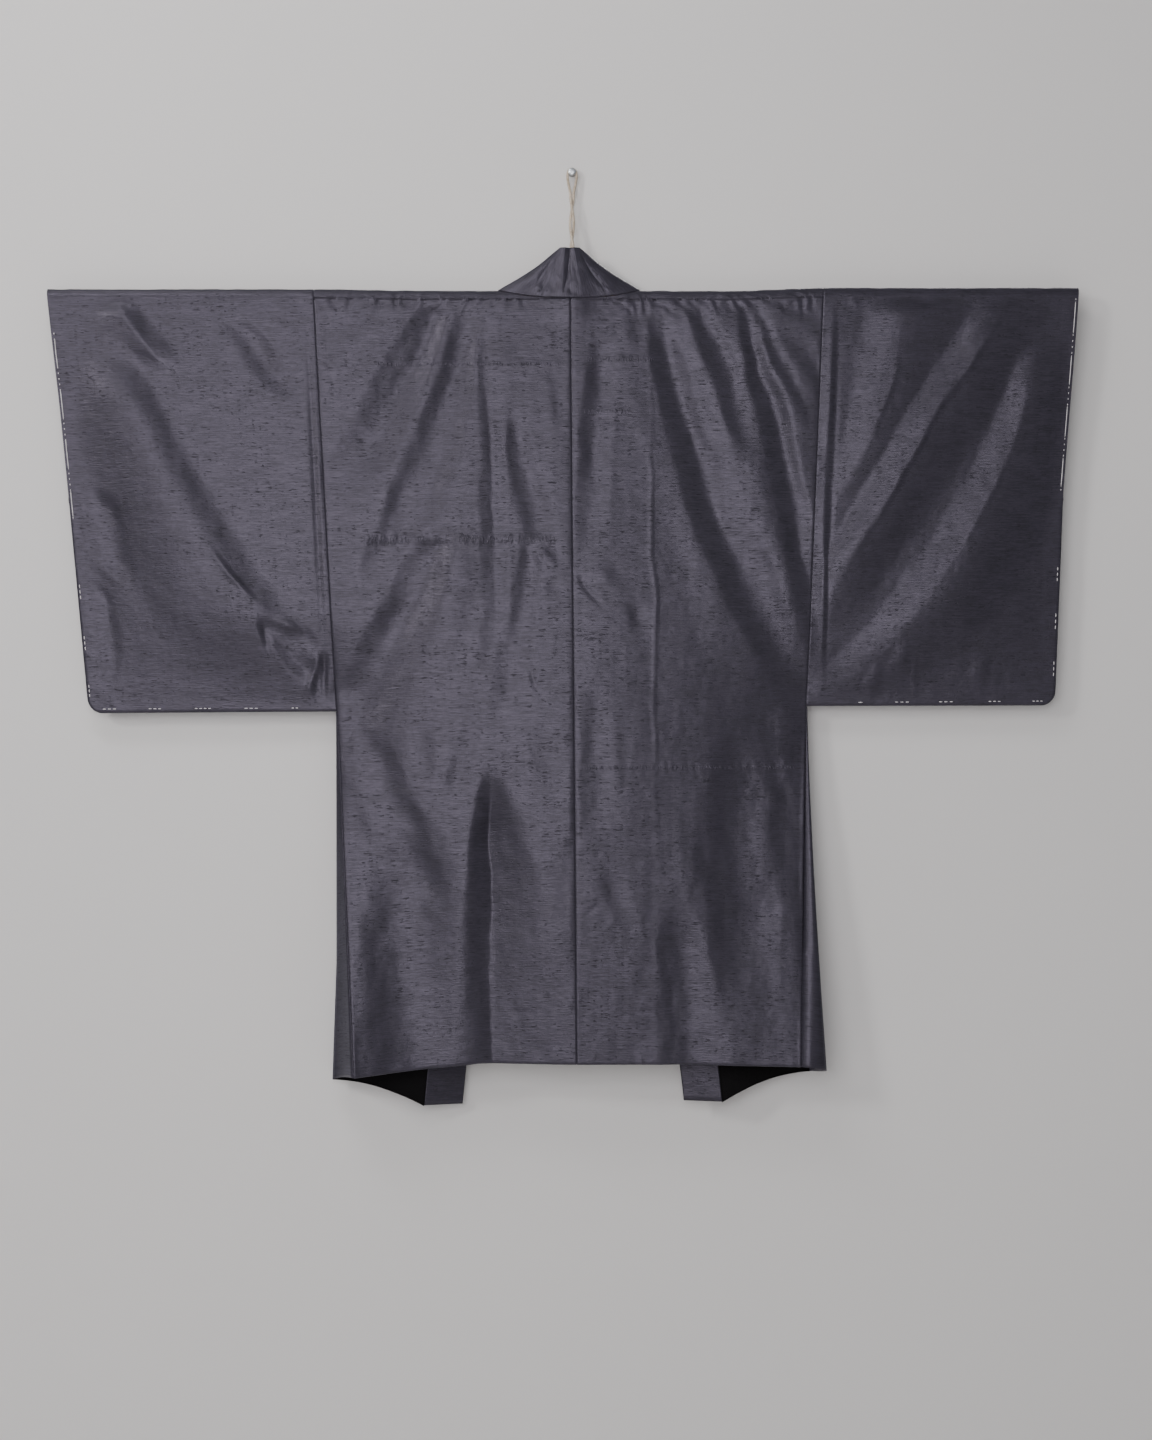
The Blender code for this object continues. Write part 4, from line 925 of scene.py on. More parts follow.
def collar_sections():
    """Rows of the collar in one band, up the left front, round the neck and down the right."""
    left, right = SIDES
    turns = np.linspace(0, math.pi / 2, COLLAR_TURNS)
    seams_and_edges = [collar_front_row(left, seam) for seam in collar_front_seams(left)[::-1]]
    seams_and_edges += [collar_back_row(left, turn) for turn in turns[::-1]]
    seams_and_edges += [collar_back_row(right, turn) for turn in turns[1:]]
    seams_and_edges += [collar_front_row(right, seam) for seam in collar_front_seams(right)]
    rows = []
    for seam, edge in seams_and_edges:
        across = (edge - seam) / np.linalg.norm(edge - seam)
        shares = np.linspace(0, 1, COLLAR_COLUMNS)[:, None]
        rows.append(blend(seam + across * COLLAR_SEAM_GAP, edge, shares))
    band = np.array(rows)
    x, z = band[..., 0], band[..., 2]
    behind_neck = smooth((ROD_Y + NECK_BEHIND - band[..., 1]) / NECK_BEHIND)
    behind_neck = behind_neck * smooth((z - SHOULDER_Z + NECK_DROP) / NECK_FADE)
    calm = smooth(np.linspace(0, 1, COLLAR_COLUMNS) / COLLAR_CALM)
    relief = crease_height(COLLAR_CREASES, x, z) + swells(COLLAR_SWELLS, x, z)
    band[..., 1] -= relief * behind_neck * calm
    return band


# Twine: one loop over the screw and under the rod, whose two strands turn round each other
# between. The bow is the x and z at which each strand comes down from the screw.
TWINE_RADIUS = 0.0017
TWINE_PAIR_RADIUS = 0.0022
TWINE_TURNS = 1.25
TWINE_PAIR_STEPS = 15
TWINE_PAIR_Z = (-0.026, -0.128)
TWINE_LEAVES_EARLY = 0.1
TWINE_SPLIT_Z = -0.143
TWINE_SPLIT_SHARE = 0.62
TWINE_TOP_SHARE = 0.75
TWINE_BOW = ((0.0049, 0.0002), (0.0057, -0.0060), (0.0042, -0.0160))
TWINE_UNDER_ROD = np.radians((45, 90, 135))
TWINE_RINGS = 620
TWINE_SIDES = 24
TWINE_PLIES = 3
TWINE_PLY_PITCH = 0.0105
TWINE_PLY_DEPTH = 0.20
TWINE_PLY_POWER = 1.5
CURVE_STEPS = 24
RING_START = (0.3, 0.5, 0.8)
SCREW_Y = -0.0125
SHANK_RADIUS = 0.0019
HEAD_THICKNESS = 0.0026


def twine_route():
    """Closed route of the twine: a long loop over the screw's shank and under the rod."""
    top = SHANK_RADIUS + TOUCH_GAP + TWINE_RADIUS
    under = ROD_RADIUS + TOUCH_GAP + TWINE_RADIUS
    strand = []
    for share in np.linspace(0, 1, TWINE_PAIR_STEPS):
        leaving = smooth((share + TWINE_LEAVES_EARLY) / (1 + TWINE_LEAVES_EARLY))
        middle = blend(SCREW_Y + HEAD_THICKNESS + TWINE_RADIUS, ROD_Y, leaving)
        strand.append((2 * math.pi * TWINE_TURNS * share, middle, blend(*TWINE_PAIR_Z, share)))

    def side_of(sign):
        return [
            (
                sign * TWINE_PAIR_RADIUS * math.cos(angle),
                middle + sign * TWINE_PAIR_RADIUS * math.sin(angle),
                height,
            )
            for angle, middle, height in strand
        ]

    loop_y = SCREW_Y + HEAD_THICKNESS + TOUCH_GAP + TWINE_RADIUS
    over = top * TWINE_TOP_SHARE
    bow = ((over, over), *TWINE_BOW)
    down = [(0, loop_y, top + TOUCH_GAP)] + [(x, loop_y, z) for x, z in bow]
    down += side_of(1)
    split = under * TWINE_SPLIT_SHARE
    down += [(0, ROD_Y + split, TWINE_SPLIT_Z), (0, ROD_Y + under, ROD_Z)]
    around = [
        (0, ROD_Y + under * math.cos(angle), ROD_Z - under * math.sin(angle))
        for angle in TWINE_UNDER_ROD
    ]
    up = [(0, ROD_Y - under, ROD_Z), (0, ROD_Y - split, TWINE_SPLIT_Z)]
    up += side_of(-1)[::-1]
    up += [(-x, loop_y, z) for x, z in bow[::-1]]
    return np.array(down + around + up)


def along_curve(route, count):
    """count points along the closed Catmull-Rom curve through the route, evenly apart."""
    total = len(route)
    fine = []
    for index in range(total):
        before, start, end, after = (route[(index + step) % total] for step in (-1, 0, 1, 2))
        for t in np.linspace(0, 1, CURVE_STEPS, endpoint=False):
            fine.append(
                0.5
                * (
                    2 * start
                    + (end - before) * t
                    + (2 * before - 5 * start + 4 * end - after) * t**2
                    + (3 * start - before - 3 * end + after) * t**3
                )
            )
    fine = np.array(fine + fine[:1])
    lengths = np.linalg.norm(np.diff(fine, axis=0), axis=1)
    travelled = np.concatenate(([0], np.cumsum(lengths)))
    wanted = np.linspace(0, travelled[-1], count)
    places = np.stack([np.interp(wanted, travelled, fine[:, axis]) for axis in range(3)], axis=-1)
    return places, travelled[-1]


def rings_along(line, radius_of, sides):
    """Rings of points round a line, turned as little as the line allows."""
    headings = np.gradient(line, axis=0)
    headings /= np.linalg.norm(headings, axis=1)[:, None]
    across = np.cross(headings[0], RING_START)
    travelled = np.concatenate(([0], np.cumsum(np.linalg.norm(np.diff(line, axis=0), axis=1))))
    angles = np.linspace(0, 2 * math.pi, sides, endpoint=False)
    rings = []
    for place, heading, length in zip(line, headings, travelled):
        across = across - heading * np.dot(across, heading)
        across /= np.linalg.norm(across)
        up = np.cross(heading, across)
        radius = radius_of(angles, length)[:, None]
        spoke = np.cos(angles)[:, None] * across + np.sin(angles)[:, None] * up
        rings.append(place + radius * spoke)
    return np.array(rings)


def tube_faces(rows, columns, first=0):
    """Quads and two end caps of a tube of rings, as lists of point numbers."""
    faces = []
    for row in range(rows - 1):
        for column in range(columns):
            a, b = row * columns + column, row * columns + (column + 1) % columns
            faces.append((first + a, first + b, first + b + columns, first + a + columns))
    faces.append(tuple(first + column for column in range(columns))[::-1])
    faces.append(tuple(first + (rows - 1) * columns + column for column in range(columns)))
    return faces


def made_mesh(name, places, faces, finish):
    mesh = bpy.data.meshes.new(name)
    mesh.from_pydata([tuple(place) for place in places], [], faces)
    mesh.validate()
    mesh.materials.append(finish)
    mesh.shade_smooth()
    made = bpy.data.objects.new(name, mesh)
    bpy.context.scene.collection.objects.link(made)
    return made


def closing_faces(index, sections, closing):
    """Faces between the sheet's first and last rows, then up its outer edge to the opening."""
    low, (back, front) = closing
    rails = [(int(index[a]), int(index[b])) for a, b in low]
    faces = [[a, b, next_b, next_a] for (a, b), (next_a, next_b) in zip(rails, rails[1:])]
    back = [int(index[place]) for place in [(0, -1), *back]]
    front = [int(index[place]) for place in [(-1, -1), *front]]
    # the two layers' rows differ in height, so the strip between them takes triangles
    heights = sections.reshape(-1, 3)[:, 2]
    i = j = 0
    while i < len(back) - 1 or j < len(front) - 1:
        take_back = j == len(front) - 1 or (
            i < len(back) - 1 and heights[back[i + 1]] <= heights[front[j + 1]]
        )
        if take_back:
            faces.append([back[i], front[j], back[i + 1]])
            i += 1
        else:
            faces.append([back[i], front[j], front[j + 1]])
            j += 1
    return faces


def cloth_uvs(sections, offset):
    """For each point the metres across and along the cloth, plus offset."""
    rows, columns = sections.shape[:2]
    middle = sections[:, columns // 2]
    steps = np.linalg.norm(np.diff(middle, axis=0), axis=1)
    along = np.concatenate(([0], np.cumsum(steps)))
    steps = np.linalg.norm(np.diff(sections, axis=1), axis=2).mean(axis=0)
    across = np.concatenate(([0], np.cumsum(steps)))
    u = np.broadcast_to(across[None, :], (rows, columns)).ravel() + offset[0]
    v = np.broadcast_to(along[:, None], (rows, columns)).ravel() + offset[1]
    return np.stack((u, v), axis=-1)


def cloth_piece(name, sections, wall, finish, offset, closing=()):
    """A sheet through the sections, closed where asked, with its thickness and its UVs.

    Its UVs are moved by offset, so that no two pieces share slubs.
    """
    rows, columns = sections.shape[:2]
    index = np.arange(rows * columns).reshape(rows, columns)
    quads = np.stack((index[:-1, :-1], index[:-1, 1:], index[1:, 1:], index[1:, :-1]), axis=-1)
    faces = quads.reshape(-1, 4).tolist()
    if closing:
        faces += closing_faces(index, sections, closing)
    made = made_mesh(name, sections.reshape(-1, 3), faces, finish)
    mesh = made.data
    fixer = bmesh.new()
    fixer.from_mesh(mesh)
    bmesh.ops.recalc_face_normals(fixer, faces=fixer.faces)
    fixer.to_mesh(mesh)
    fixer.free()
    corners = np.empty(len(mesh.loops), np.int32)
    mesh.loops.foreach_get("vertex_index", corners)
    layer = mesh.uv_layers.new(name="cloth")
    uvs = cloth_uvs(sections, offset)[corners]
    layer.data.foreach_set("uv", uvs.astype(np.float32).ravel())
    solidify = made.modifiers.new("wall", "SOLIDIFY")
    solidify.thickness = wall
    solidify.offset = 0
    solidify.use_quality_normals = True
    return made


class Nodes:
    """A short way to build a material's node tree."""

    def __init__(self, name):
        self.material = bpy.data.materials.new(name)
        self.material.use_nodes = True
        self.tree = self.material.node_tree
        self.shader = self.tree.nodes["Principled BSDF"]

    def node(self, kind, **settings):
        made = self.tree.nodes.new(kind)
        for key, value in settings.items():
            setattr(made, key, value)
        return made

    def link(self, start, end):
        self.tree.links.new(start, end)

    def plain(self, **settings):
        for key, value in settings.items():
            self.shader.inputs[key.replace("_", " ")].default_value = value

    def stretched(self, source, across, along, seed=0):
        """source, a place in metres, counted in steps of across and along and moved by seed."""
        scaled = self.node("ShaderNodeMapping")
        scaled.inputs["Scale"].default_value = (1 / across, 1 / along, 1)
        scaled.inputs["Location"].default_value = (seed, seed * 1.7, seed)
        self.link(source, scaled.inputs["Vector"])
        return scaled.outputs["Vector"]

    def noise(self, place, detail, roughness=0.5):
        made = self.node("ShaderNodeTexNoise", noise_dimensions="3D")
        made.inputs["Scale"].default_value = 1
        made.inputs["Detail"].default_value = detail
        made.inputs["Roughness"].default_value = roughness
        self.link(place, made.inputs["Vector"])
        return made.outputs["Fac"]

    def ramp(self, value, low, high, at_low=0.0, at_high=1.0, kind="SMOOTHSTEP"):
        made = self.node("ShaderNodeMapRange", interpolation_type=kind)
        for name, number in (
            ("From Min", low), ("From Max", high), ("To Min", at_low), ("To Max", at_high)
        ):
            made.inputs[name].default_value = number
        self.link(value, made.inputs["Value"])
        return made.outputs["Result"]

    def math(self, operation, *values):
        made = self.node("ShaderNodeMath", operation=operation)
        for place, value in enumerate(values):
            if isinstance(value, (int, float)):
                made.inputs[place].default_value = value
            else:
                self.link(value, made.inputs[place])
        return made.outputs["Value"]

    def mix(self, share, low, high, kind="RGBA"):
        made = self.node("ShaderNodeMix", data_type=kind)
        slots = [slot for slot in made.inputs if slot.enabled]
        for slot, value in zip(slots, (share, low, high)):
            if isinstance(value, tuple):
                slot.default_value = (*value, 1)
            elif isinstance(value, (int, float)):
                slot.default_value = value
            else:
                self.link(value, slot)
        return next(slot for slot in made.outputs if slot.enabled)

    def bump(self, height, strength, distance):
        made = self.node("ShaderNodeBump")
        made.inputs["Strength"].default_value = strength
        made.inputs["Distance"].default_value = distance
        self.link(height, made.inputs["Height"])
        self.link(made.outputs["Normal"], self.shader.inputs["Normal"])


# Silk's colours between and on its slubs, and the lining's. The lining's is near black: partly the
# lining's own dark colour and partly painted shade, for the shade that falls inside the garment
# between its layers. A face is the lining's where it looks at the middle between the layers from
# at least that far.
SILK_DARK = (0.022, 0.021, 0.027)
SILK_LIGHT = (0.041, 0.037, 0.051)
SLUB_DARK = (0.006, 0.006, 0.007)
LINING_AND_PAINTED_SHADE = (0.0060, 0.0058, 0.0055)
LINING_SHADE_DEPTH = 0.0005

# The middle between the layers: the heights between which it comes forward from the rod's axis, and
# how far forward it is at the hem
MIDDLE_TOP_Z, MIDDLE_HEM_Z = -0.780, -1.110
MIDDLE_HEM_Y = -0.053

# Slubs in metres: the cell's size across and along, the smallest and largest radius as a share of
# the cell, the share of the cells that hold one, and where in the noise they start
Slub = namedtuple("Slub", "across along small large share seed")
SLUBS = (
    Slub(0.0150, 0.0020, 0.10, 0.32, 0.32, 1),
    Slub(0.0080, 0.0018, 0.12, 0.32, 0.30, 2),
    Slub(0.0084, 0.0046, 0.07, 0.16, 0.20, 4),
)
SLUB_BEND, SLUB_BEND_ACROSS, SLUB_BEND_ALONG = 0.4, 0.004, 0.002
SLUB_PALEST = 0.35
SLUB_EDGE = (1.2, 0.5)

# Fine ticks where a hidden row of stitches gathers the back: the size of a tick and of a clump of
# them, the width over which a row starts, and rows with x from and to, z and reach, all in metres
TICK_ACROSS, TICK_UPRIGHT = 0.0026, 0.0075
CLUMP_ACROSS, CLUMP_UPRIGHT = 0.017, 0.05
STITCH_ROW_STARTS = 0.012
STITCH_BEHIND_ROD = 0.002
STITCH_ROWS = (
    (-0.264, -0.016, -0.465, 0.0085),
    (0.012, 0.108, -0.240, 0.0045),
    (0.010, 0.076, -0.305, 0.0040),
    (0.009, 0.285, -0.748, 0.0035),
    (-0.250, -0.010, -0.246, 0.0035),
)


def stitch_ticks(made):
    """Ticks as high as 1, and 0 away from the rows of hidden stitches on the back."""
    place = made.node("ShaderNodeTexCoord").outputs["Object"]
    apart = made.node("ShaderNodeSeparateXYZ")
    made.link(place, apart.inputs["Vector"])
    x, y, z = (apart.outputs[axis] for axis in "XYZ")
    scaled = made.node("ShaderNodeMapping")
    scaled.inputs["Scale"].default_value = (1 / TICK_ACROSS, 0, 1 / TICK_UPRIGHT)
    made.link(place, scaled.inputs["Vector"])
    ticks = made.ramp(made.noise(scaled.outputs["Vector"], 2, 0.6), 0.46, 0.68)
    clumps = made.node("ShaderNodeMapping")
    clumps.inputs["Scale"].default_value = (1 / CLUMP_ACROSS, 0, 1 / CLUMP_UPRIGHT)
    made.link(place, clumps.inputs["Vector"])
    gathered = made.ramp(made.noise(clumps.outputs["Vector"], 1), 0.36, 0.60, 0.35, 1.0)
    ticks = made.math("MULTIPLY", ticks, gathered)
    rows = 0.0
    for x_from, x_to, level, reach in STITCH_ROWS:
        near = made.ramp(made.math("ABSOLUTE", made.math("SUBTRACT", z, level)), reach, 0.0)
        starts = made.ramp(x, x_from, x_from + STITCH_ROW_STARTS)
        across = made.math("MULTIPLY", starts, made.ramp(x, x_to, x_to - STITCH_ROW_STARTS))
        rows = made.math("MAXIMUM", rows, made.math("MULTIPLY", near, across))
    rows = made.math("MULTIPLY", rows, made.math("LESS_THAN", y, ROD_Y - STITCH_BEHIND_ROD))
    return made.math("MULTIPLY", rows, ticks)


def slubs(made, place, patches, kind):
    """Dark dashes of the yarn of one kind: one in each cell, in the share of them that it names."""
    cells = made.node("ShaderNodeTexVoronoi", voronoi_dimensions="2D", feature="F1")
    cells.inputs["Scale"].default_value = 1
    bent = made.node("ShaderNodeVectorMath", operation="ADD")
    made.link(made.stretched(place, kind.across, kind.along, kind.seed), bent.inputs[0])
    bend = made.noise(made.stretched(place, SLUB_BEND_ACROSS, SLUB_BEND_ALONG, kind.seed), 1)
    made.link(made.math("MULTIPLY", bend, SLUB_BEND), bent.inputs[1])
    made.link(bent.outputs["Vector"], cells.inputs["Vector"])
    chosen = made.node("ShaderNodeSeparateColor")
    made.link(cells.outputs["Color"], chosen.inputs["Color"])
    filled = made.math("MULTIPLY", patches, kind.share)
    present = made.math("LESS_THAN", chosen.outputs["Red"], filled)
    size = made.math("MULTIPLY_ADD", chosen.outputs["Green"], kind.large - kind.small, kind.small)
    edge = made.math("DIVIDE", cells.outputs["Distance"], size)
    depth = made.math("MULTIPLY_ADD", chosen.outputs["Blue"], 1 - SLUB_PALEST, SLUB_PALEST)
    seen = made.math("MULTIPLY", made.ramp(edge, *SLUB_EDGE), present)
    return made.math("MULTIPLY", seen, depth)


def inside(made):
    """1 on the faces that look at the middle between the layers, where the lining's colour paints
    shade, and 0 outside.
    """
    source = made.node("ShaderNodeTexCoord")
    place, facing = made.node("ShaderNodeSeparateXYZ"), made.node("ShaderNodeSeparateXYZ")
    made.link(source.outputs["Object"], place.inputs["Vector"])
    made.link(source.outputs["Normal"], facing.inputs["Vector"])
    z = place.outputs["Z"]
    middle = made.ramp(z, MIDDLE_TOP_Z, MIDDLE_HEM_Z, ROD_Y, MIDDLE_HEM_Y, "LINEAR")
    away = made.math("SUBTRACT", place.outputs["Y"], middle)
    return made.math("LESS_THAN", made.math("MULTIPLY", away, facing.outputs["Y"]), -LINING_SHADE_DEPTH)


def silk_material(name, lined_and_shaded=True):
    """Slubbed silk: fine streaks along the weft, and short dark slubs that gather in patches. When
    lined, the inside faces are near black, partly the lining and partly painted shade.
    """
    made = Nodes(name)
    place = made.node("ShaderNodeUVMap", uv_map="cloth").outputs["UV"]
    patches = made.noise(made.stretched(place, 0.080, 0.034), 3, 0.65)
    patches = made.ramp(patches, 0.38, 0.66, 0.10, 1.0)
    long_slubs, dashes, knots = (slubs(made, place, patches, kind) for kind in SLUBS)
    slub = made.math("MAXIMUM", made.math("MAXIMUM", long_slubs, dashes), knots)
    streaks = made.noise(made.stretched(place, 0.026, 0.0013, 5), 3, 0.62)
    short = made.noise(made.stretched(place, 0.007, 0.0015, 7), 2)
    cloudy = made.noise(made.stretched(place, 0.045, 0.018, 9), 3, 0.6)
    tone = made.math("MULTIPLY_ADD", streaks, 1.0, made.math("MULTIPLY", short, 0.55))
    tone = made.math("MULTIPLY_ADD", cloudy, 0.45, tone)
    tone = made.ramp(tone, 0.80, 1.20)
    base = made.mix(tone, SILK_DARK, SILK_LIGHT)
    base = made.mix(made.math("MULTIPLY", slub, 0.82), base, SLUB_DARK)
    gloss = made.math("MULTIPLY_ADD", tone, -0.10, 0.395)
    gloss = made.math("MULTIPLY_ADD", slub, 0.36, gloss)
    # painted shade: the inside faces take the near-black lining colour and little gloss, which
    # stand for the lining and for the shade between the layers
    if lined_and_shaded:
        lining_and_shade = inside(made)
        base = made.mix(lining_and_shade, base, LINING_AND_PAINTED_SHADE)
        gloss = made.mix(lining_and_shade, gloss, 0.75, "FLOAT")
        made.link(made.ramp(lining_and_shade, 0, 1, 0.5, 0.1), made.shader.inputs["Specular IOR Level"])
        made.link(made.ramp(lining_and_shade, 0, 1, 0.10, 0.0), made.shader.inputs["Sheen Weight"])
    made.link(base, made.shader.inputs["Base Color"])
    made.link(gloss, made.shader.inputs["Roughness"])
    relief = made.math("MULTIPLY_ADD", streaks, 0.8, made.math("MULTIPLY", short, 0.5))
    relief = made.math("MULTIPLY_ADD", slub, -1.0, relief)
    rumple = made.noise(made.stretched(place, 0.016, 0.012, 11), 3, 0.6)
    relief = made.math("MULTIPLY_ADD", rumple, 1.4, relief)
    relief = made.math("MULTIPLY_ADD", stitch_ticks(made), 2.2, relief)
    made.bump(relief, 0.5, 0.0006)
    made.plain(
        Specular_Tint=(0.88, 0.82, 1.0, 1),
        Sheen_Weight=0.10,
        Sheen_Roughness=0.45,
        Sheen_Tint=(0.78, 0.74, 1.0, 1),
    )
    return made.material


def object_noise(made, across, along, upright, detail=2.0):
    """Noise in the piece's own coordinates, with those steps along x, y and z."""
    place = made.node("ShaderNodeTexCoord").outputs["Object"]
    scaled = made.node("ShaderNodeMapping")
    scaled.inputs["Scale"].default_value = (1 / across, 1 / along, 1 / upright)
    made.link(place, scaled.inputs["Vector"])
    return made.noise(scaled.outputs["Vector"], detail)


def twine_material():
    made = Nodes("twine_fibre")
    fibres = object_noise(made, 0.0009, 0.0009, 0.0022, 3)
    stains = object_noise(made, 0.012, 0.012, 0.020, 2)
    tone = made.math("MULTIPLY_ADD", fibres, 0.8, made.math("MULTIPLY", stains, 0.5))
    base = made.mix(made.ramp(tone, 0.40, 0.90), (0.38, 0.30, 0.21), (0.80, 0.70, 0.57))
    made.link(base, made.shader.inputs["Base Color"])
    made.bump(fibres, 0.6, 0.0005)
    made.plain(Roughness=0.9, Sheen_Weight=0.3)
    return made.material


def pine_material():
    made = Nodes("pine_wood")
    grain = object_noise(made, 0.080, 0.0022, 0.0022, 3)
    pores = object_noise(made, 0.012, 0.0006, 0.0006, 2)
    tone = made.math("MULTIPLY_ADD", grain, 0.8, made.math("MULTIPLY", pores, 0.3))
    base = made.mix(made.ramp(tone, 0.35, 0.80), (0.42, 0.27, 0.14), (0.66, 0.50, 0.31))
    made.link(base, made.shader.inputs["Base Color"])
    made.link(made.ramp(grain, 0.3, 0.7, 0.50, 0.68), made.shader.inputs["Roughness"])
    made.bump(tone, 0.4, 0.0003)
    return made.material


def zinc_material():
    made = Nodes("zinc_screw")
    scratches = object_noise(made, 0.0012, 0.0012, 0.0003, 3)
    spots = object_noise(made, 0.0016, 0.0016, 0.0016, 2)
    base = made.mix(made.ramp(spots, 0.35, 0.7), (0.55, 0.60, 0.64), (0.80, 0.81, 0.82))
    made.link(base, made.shader.inputs["Base Color"])
    made.link(made.ramp(scratches, 0.3, 0.7, 0.22, 0.42), made.shader.inputs["Roughness"])
    made.bump(scratches, 0.3, 0.00008)
    made.plain(Metallic=1.0)
    return made.material


def plug_material():
    made = Nodes("grey_plug")
    grain = object_noise(made, 0.0006, 0.0006, 0.0006, 2)
    dust = object_noise(made, 0.004, 0.004, 0.004, 2)
    base = made.mix(made.ramp(dust, 0.35, 0.7), (0.27, 0.27, 0.265), (0.44, 0.44, 0.43))
    made.link(base, made.shader.inputs["Base Color"])
    made.bump(grain, 0.3, 0.0001)
    made.plain(Roughness=0.65)
    return made.material


def thread_material():
    made = Nodes("basting_cotton")
    fibres = object_noise(made, 0.0005, 0.0005, 0.0014, 2)
    base = made.mix(made.ramp(fibres, 0.3, 0.7), (0.68, 0.66, 0.67), (0.90, 0.88, 0.89))
    made.link(base, made.shader.inputs["Base Color"])
    made.bump(fibres, 0.5, 0.0002)
    made.plain(Roughness=0.85)
    return made.material


def build_camera():
    data = bpy.data.cameras.new("camera")
    data.lens = CAMERA_LENS
    data.sensor_width = CAMERA_SENSOR
    data.sensor_fit = "HORIZONTAL"
    data.clip_end = CAMERA_REACH
    camera = bpy.data.objects.new("camera", data)
    camera.location = CAMERA_PLACE
    camera.rotation_euler = (math.pi / 2, 0, 0)
    bpy.context.scene.collection.objects.link(camera)
    bpy.context.scene.camera = camera


def build_twine():
    line, length = along_curve(twine_route(), TWINE_RINGS)
    line = line[:-1]

    def lobes(angles, travelled):
        turned = (angles - 2 * math.pi * travelled / TWINE_PLY_PITCH) * TWINE_PLIES / 2
        groove = (1 - np.abs(np.sin(turned))) ** TWINE_PLY_POWER
        return TWINE_RADIUS * (1 - TWINE_PLY_DEPTH * groove)

    rings = rings_along(line, lobes, TWINE_SIDES)
    faces = tube_faces(len(line), TWINE_SIDES)
    twine = made_mesh("twine_loop", rings.reshape(-1, 3), faces, twine_material())
    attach(twine, "root")
    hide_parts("twine")


# Basting on the sleeves' back: runs of white stitches in millimetres, from x, z to x, z, with the
# count of stitches and the share of the run's length that they cover
Run = namedtuple("Run", "side x0 z0 x1 z1 dashes cover")
BASTING = (
    Run("left", -644.5, -214.5, -641.5, -251.0, 1, 1.0),
    Run("left", -639.5, -277.0, -637.0, -314.5, 1, 1.0),
    Run("left", -635.5, -339.0, -633.0, -376.5, 1, 1.0),
    Run("left", -631.5, -402.5, -629.5, -436.0, 1, 1.0),
    Run("left", -616.5, -518.5, -614.0, -539.5, 3, 0.55),
    Run("left", -612.0, -583.0, -610.5, -603.0, 3, 0.55),
    Run("left", -608.0, -644.0, -605.0, -661.5, 3, 0.55),
    Run("left", -587.0, -675.5, -568.0, -675.2, 3, 0.55),
    Run("left", -529.5, -675.0, -512.0, -675.0, 3, 0.55),
    Run("left", -472.0, -674.6, -449.5, -674.6, 4, 0.55),
    Run("left", -410.0, -674.4, -391.0, -674.4, 3, 0.55),
    Run("left", -351.0, -674.0, -341.0, -674.0, 2, 0.55),
    Run("right", 627.5, -171.0, 626.0, -209.0, 1, 1.0),
    Run("right", 624.0, -234.5, 622.5, -271.5, 1, 1.0),
    Run("right", 619.5, -297.0, 617.0, -336.5, 1, 1.0),
    Run("right", 614.0, -361.5, 612.0, -398.5, 1, 1.0),
    Run("right", 609.5, -497.0, 608.5, -517.0, 3, 0.55),
    Run("right", 606.5, -554.5, 605.5, -577.0, 3, 0.55),
    Run("right", 603.0, -614.5, 601.5, -635.5, 3, 0.55),
    Run("right", 357.0, -667.0, 363.5, -667.0, 1, 0.8),
    Run("right", 402.0, -666.6, 422.0, -666.6, 3, 0.55),
    Run("right", 457.0, -666.2, 477.0, -666.2, 3, 0.55),
    Run("right", 519.0, -665.8, 536.5, -665.8, 3, 0.55),
    Run("right", 574.0, -665.4, 588.5, -665.4, 3, 0.55),
)
DOT_ROWS = (
    Run("left", -645.5, -205.0, -629.0, -440.0, 34, 0.22),
    Run("right", 628.5, -165.0, 611.5, -405.0, 34, 0.22),
)
THREAD_RADIUS = 0.0005
STITCH_TO_LOW_EDGE = 0.0018
STITCH_TO_CUFF = 0.0034
THREAD_STEPS = 6
THREAD_SIDES = 6

# In radii, how far a stitch's ends lie in the cloth and how far its middle rises from there
THREAD_SUNK, THREAD_RISE = 0.9, 1.7


def thread_radius(angles, _):
    return np.full(angles.shape, THREAD_RADIUS)


def build_basting(side, thread):
    """The side's stitches as one piece. Each dips into the cloth at both of its ends."""
    places, faces = [], []
    for run in BASTING + DOT_ROWS:
        if run.side != side.name:
            continue
        for number in range(run.dashes):
            start = (number + (1 - run.cover) / 2) / run.dashes
            share = np.linspace(start, start + run.cover / run.dashes, THREAD_STEPS)
            x = blend(run.x0, run.x1, share) / 1000
            z = blend(run.z0, run.z1, share) / 1000
            low = sleeve_low_z(side, (x - side.armpit_x) / (side.cuff_low_x - side.armpit_x))
            z = np.maximum(z, low + STITCH_TO_LOW_EDGE)
            edge = side.sign * cuff_x(side, z) - STITCH_TO_CUFF
            x = side.sign * np.minimum(side.sign * x, edge)
            bow = np.sin(np.linspace(0, math.pi, THREAD_STEPS))
            sunk = THREAD_RADIUS * (THREAD_SUNK - THREAD_RISE * np.sqrt(bow))
            y = sleeve_back_y(side, x, z) - CLOTH / 2 + sunk
            rings = rings_along(points(side, x, y, z), thread_radius, THREAD_SIDES)
            faces += tube_faces(THREAD_STEPS, THREAD_SIDES, len(places))
            places += list(rings.reshape(-1, 3))
    made = made_mesh(f"basting_{side.name}", places, faces, thread)
    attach(made, "root")
    return made


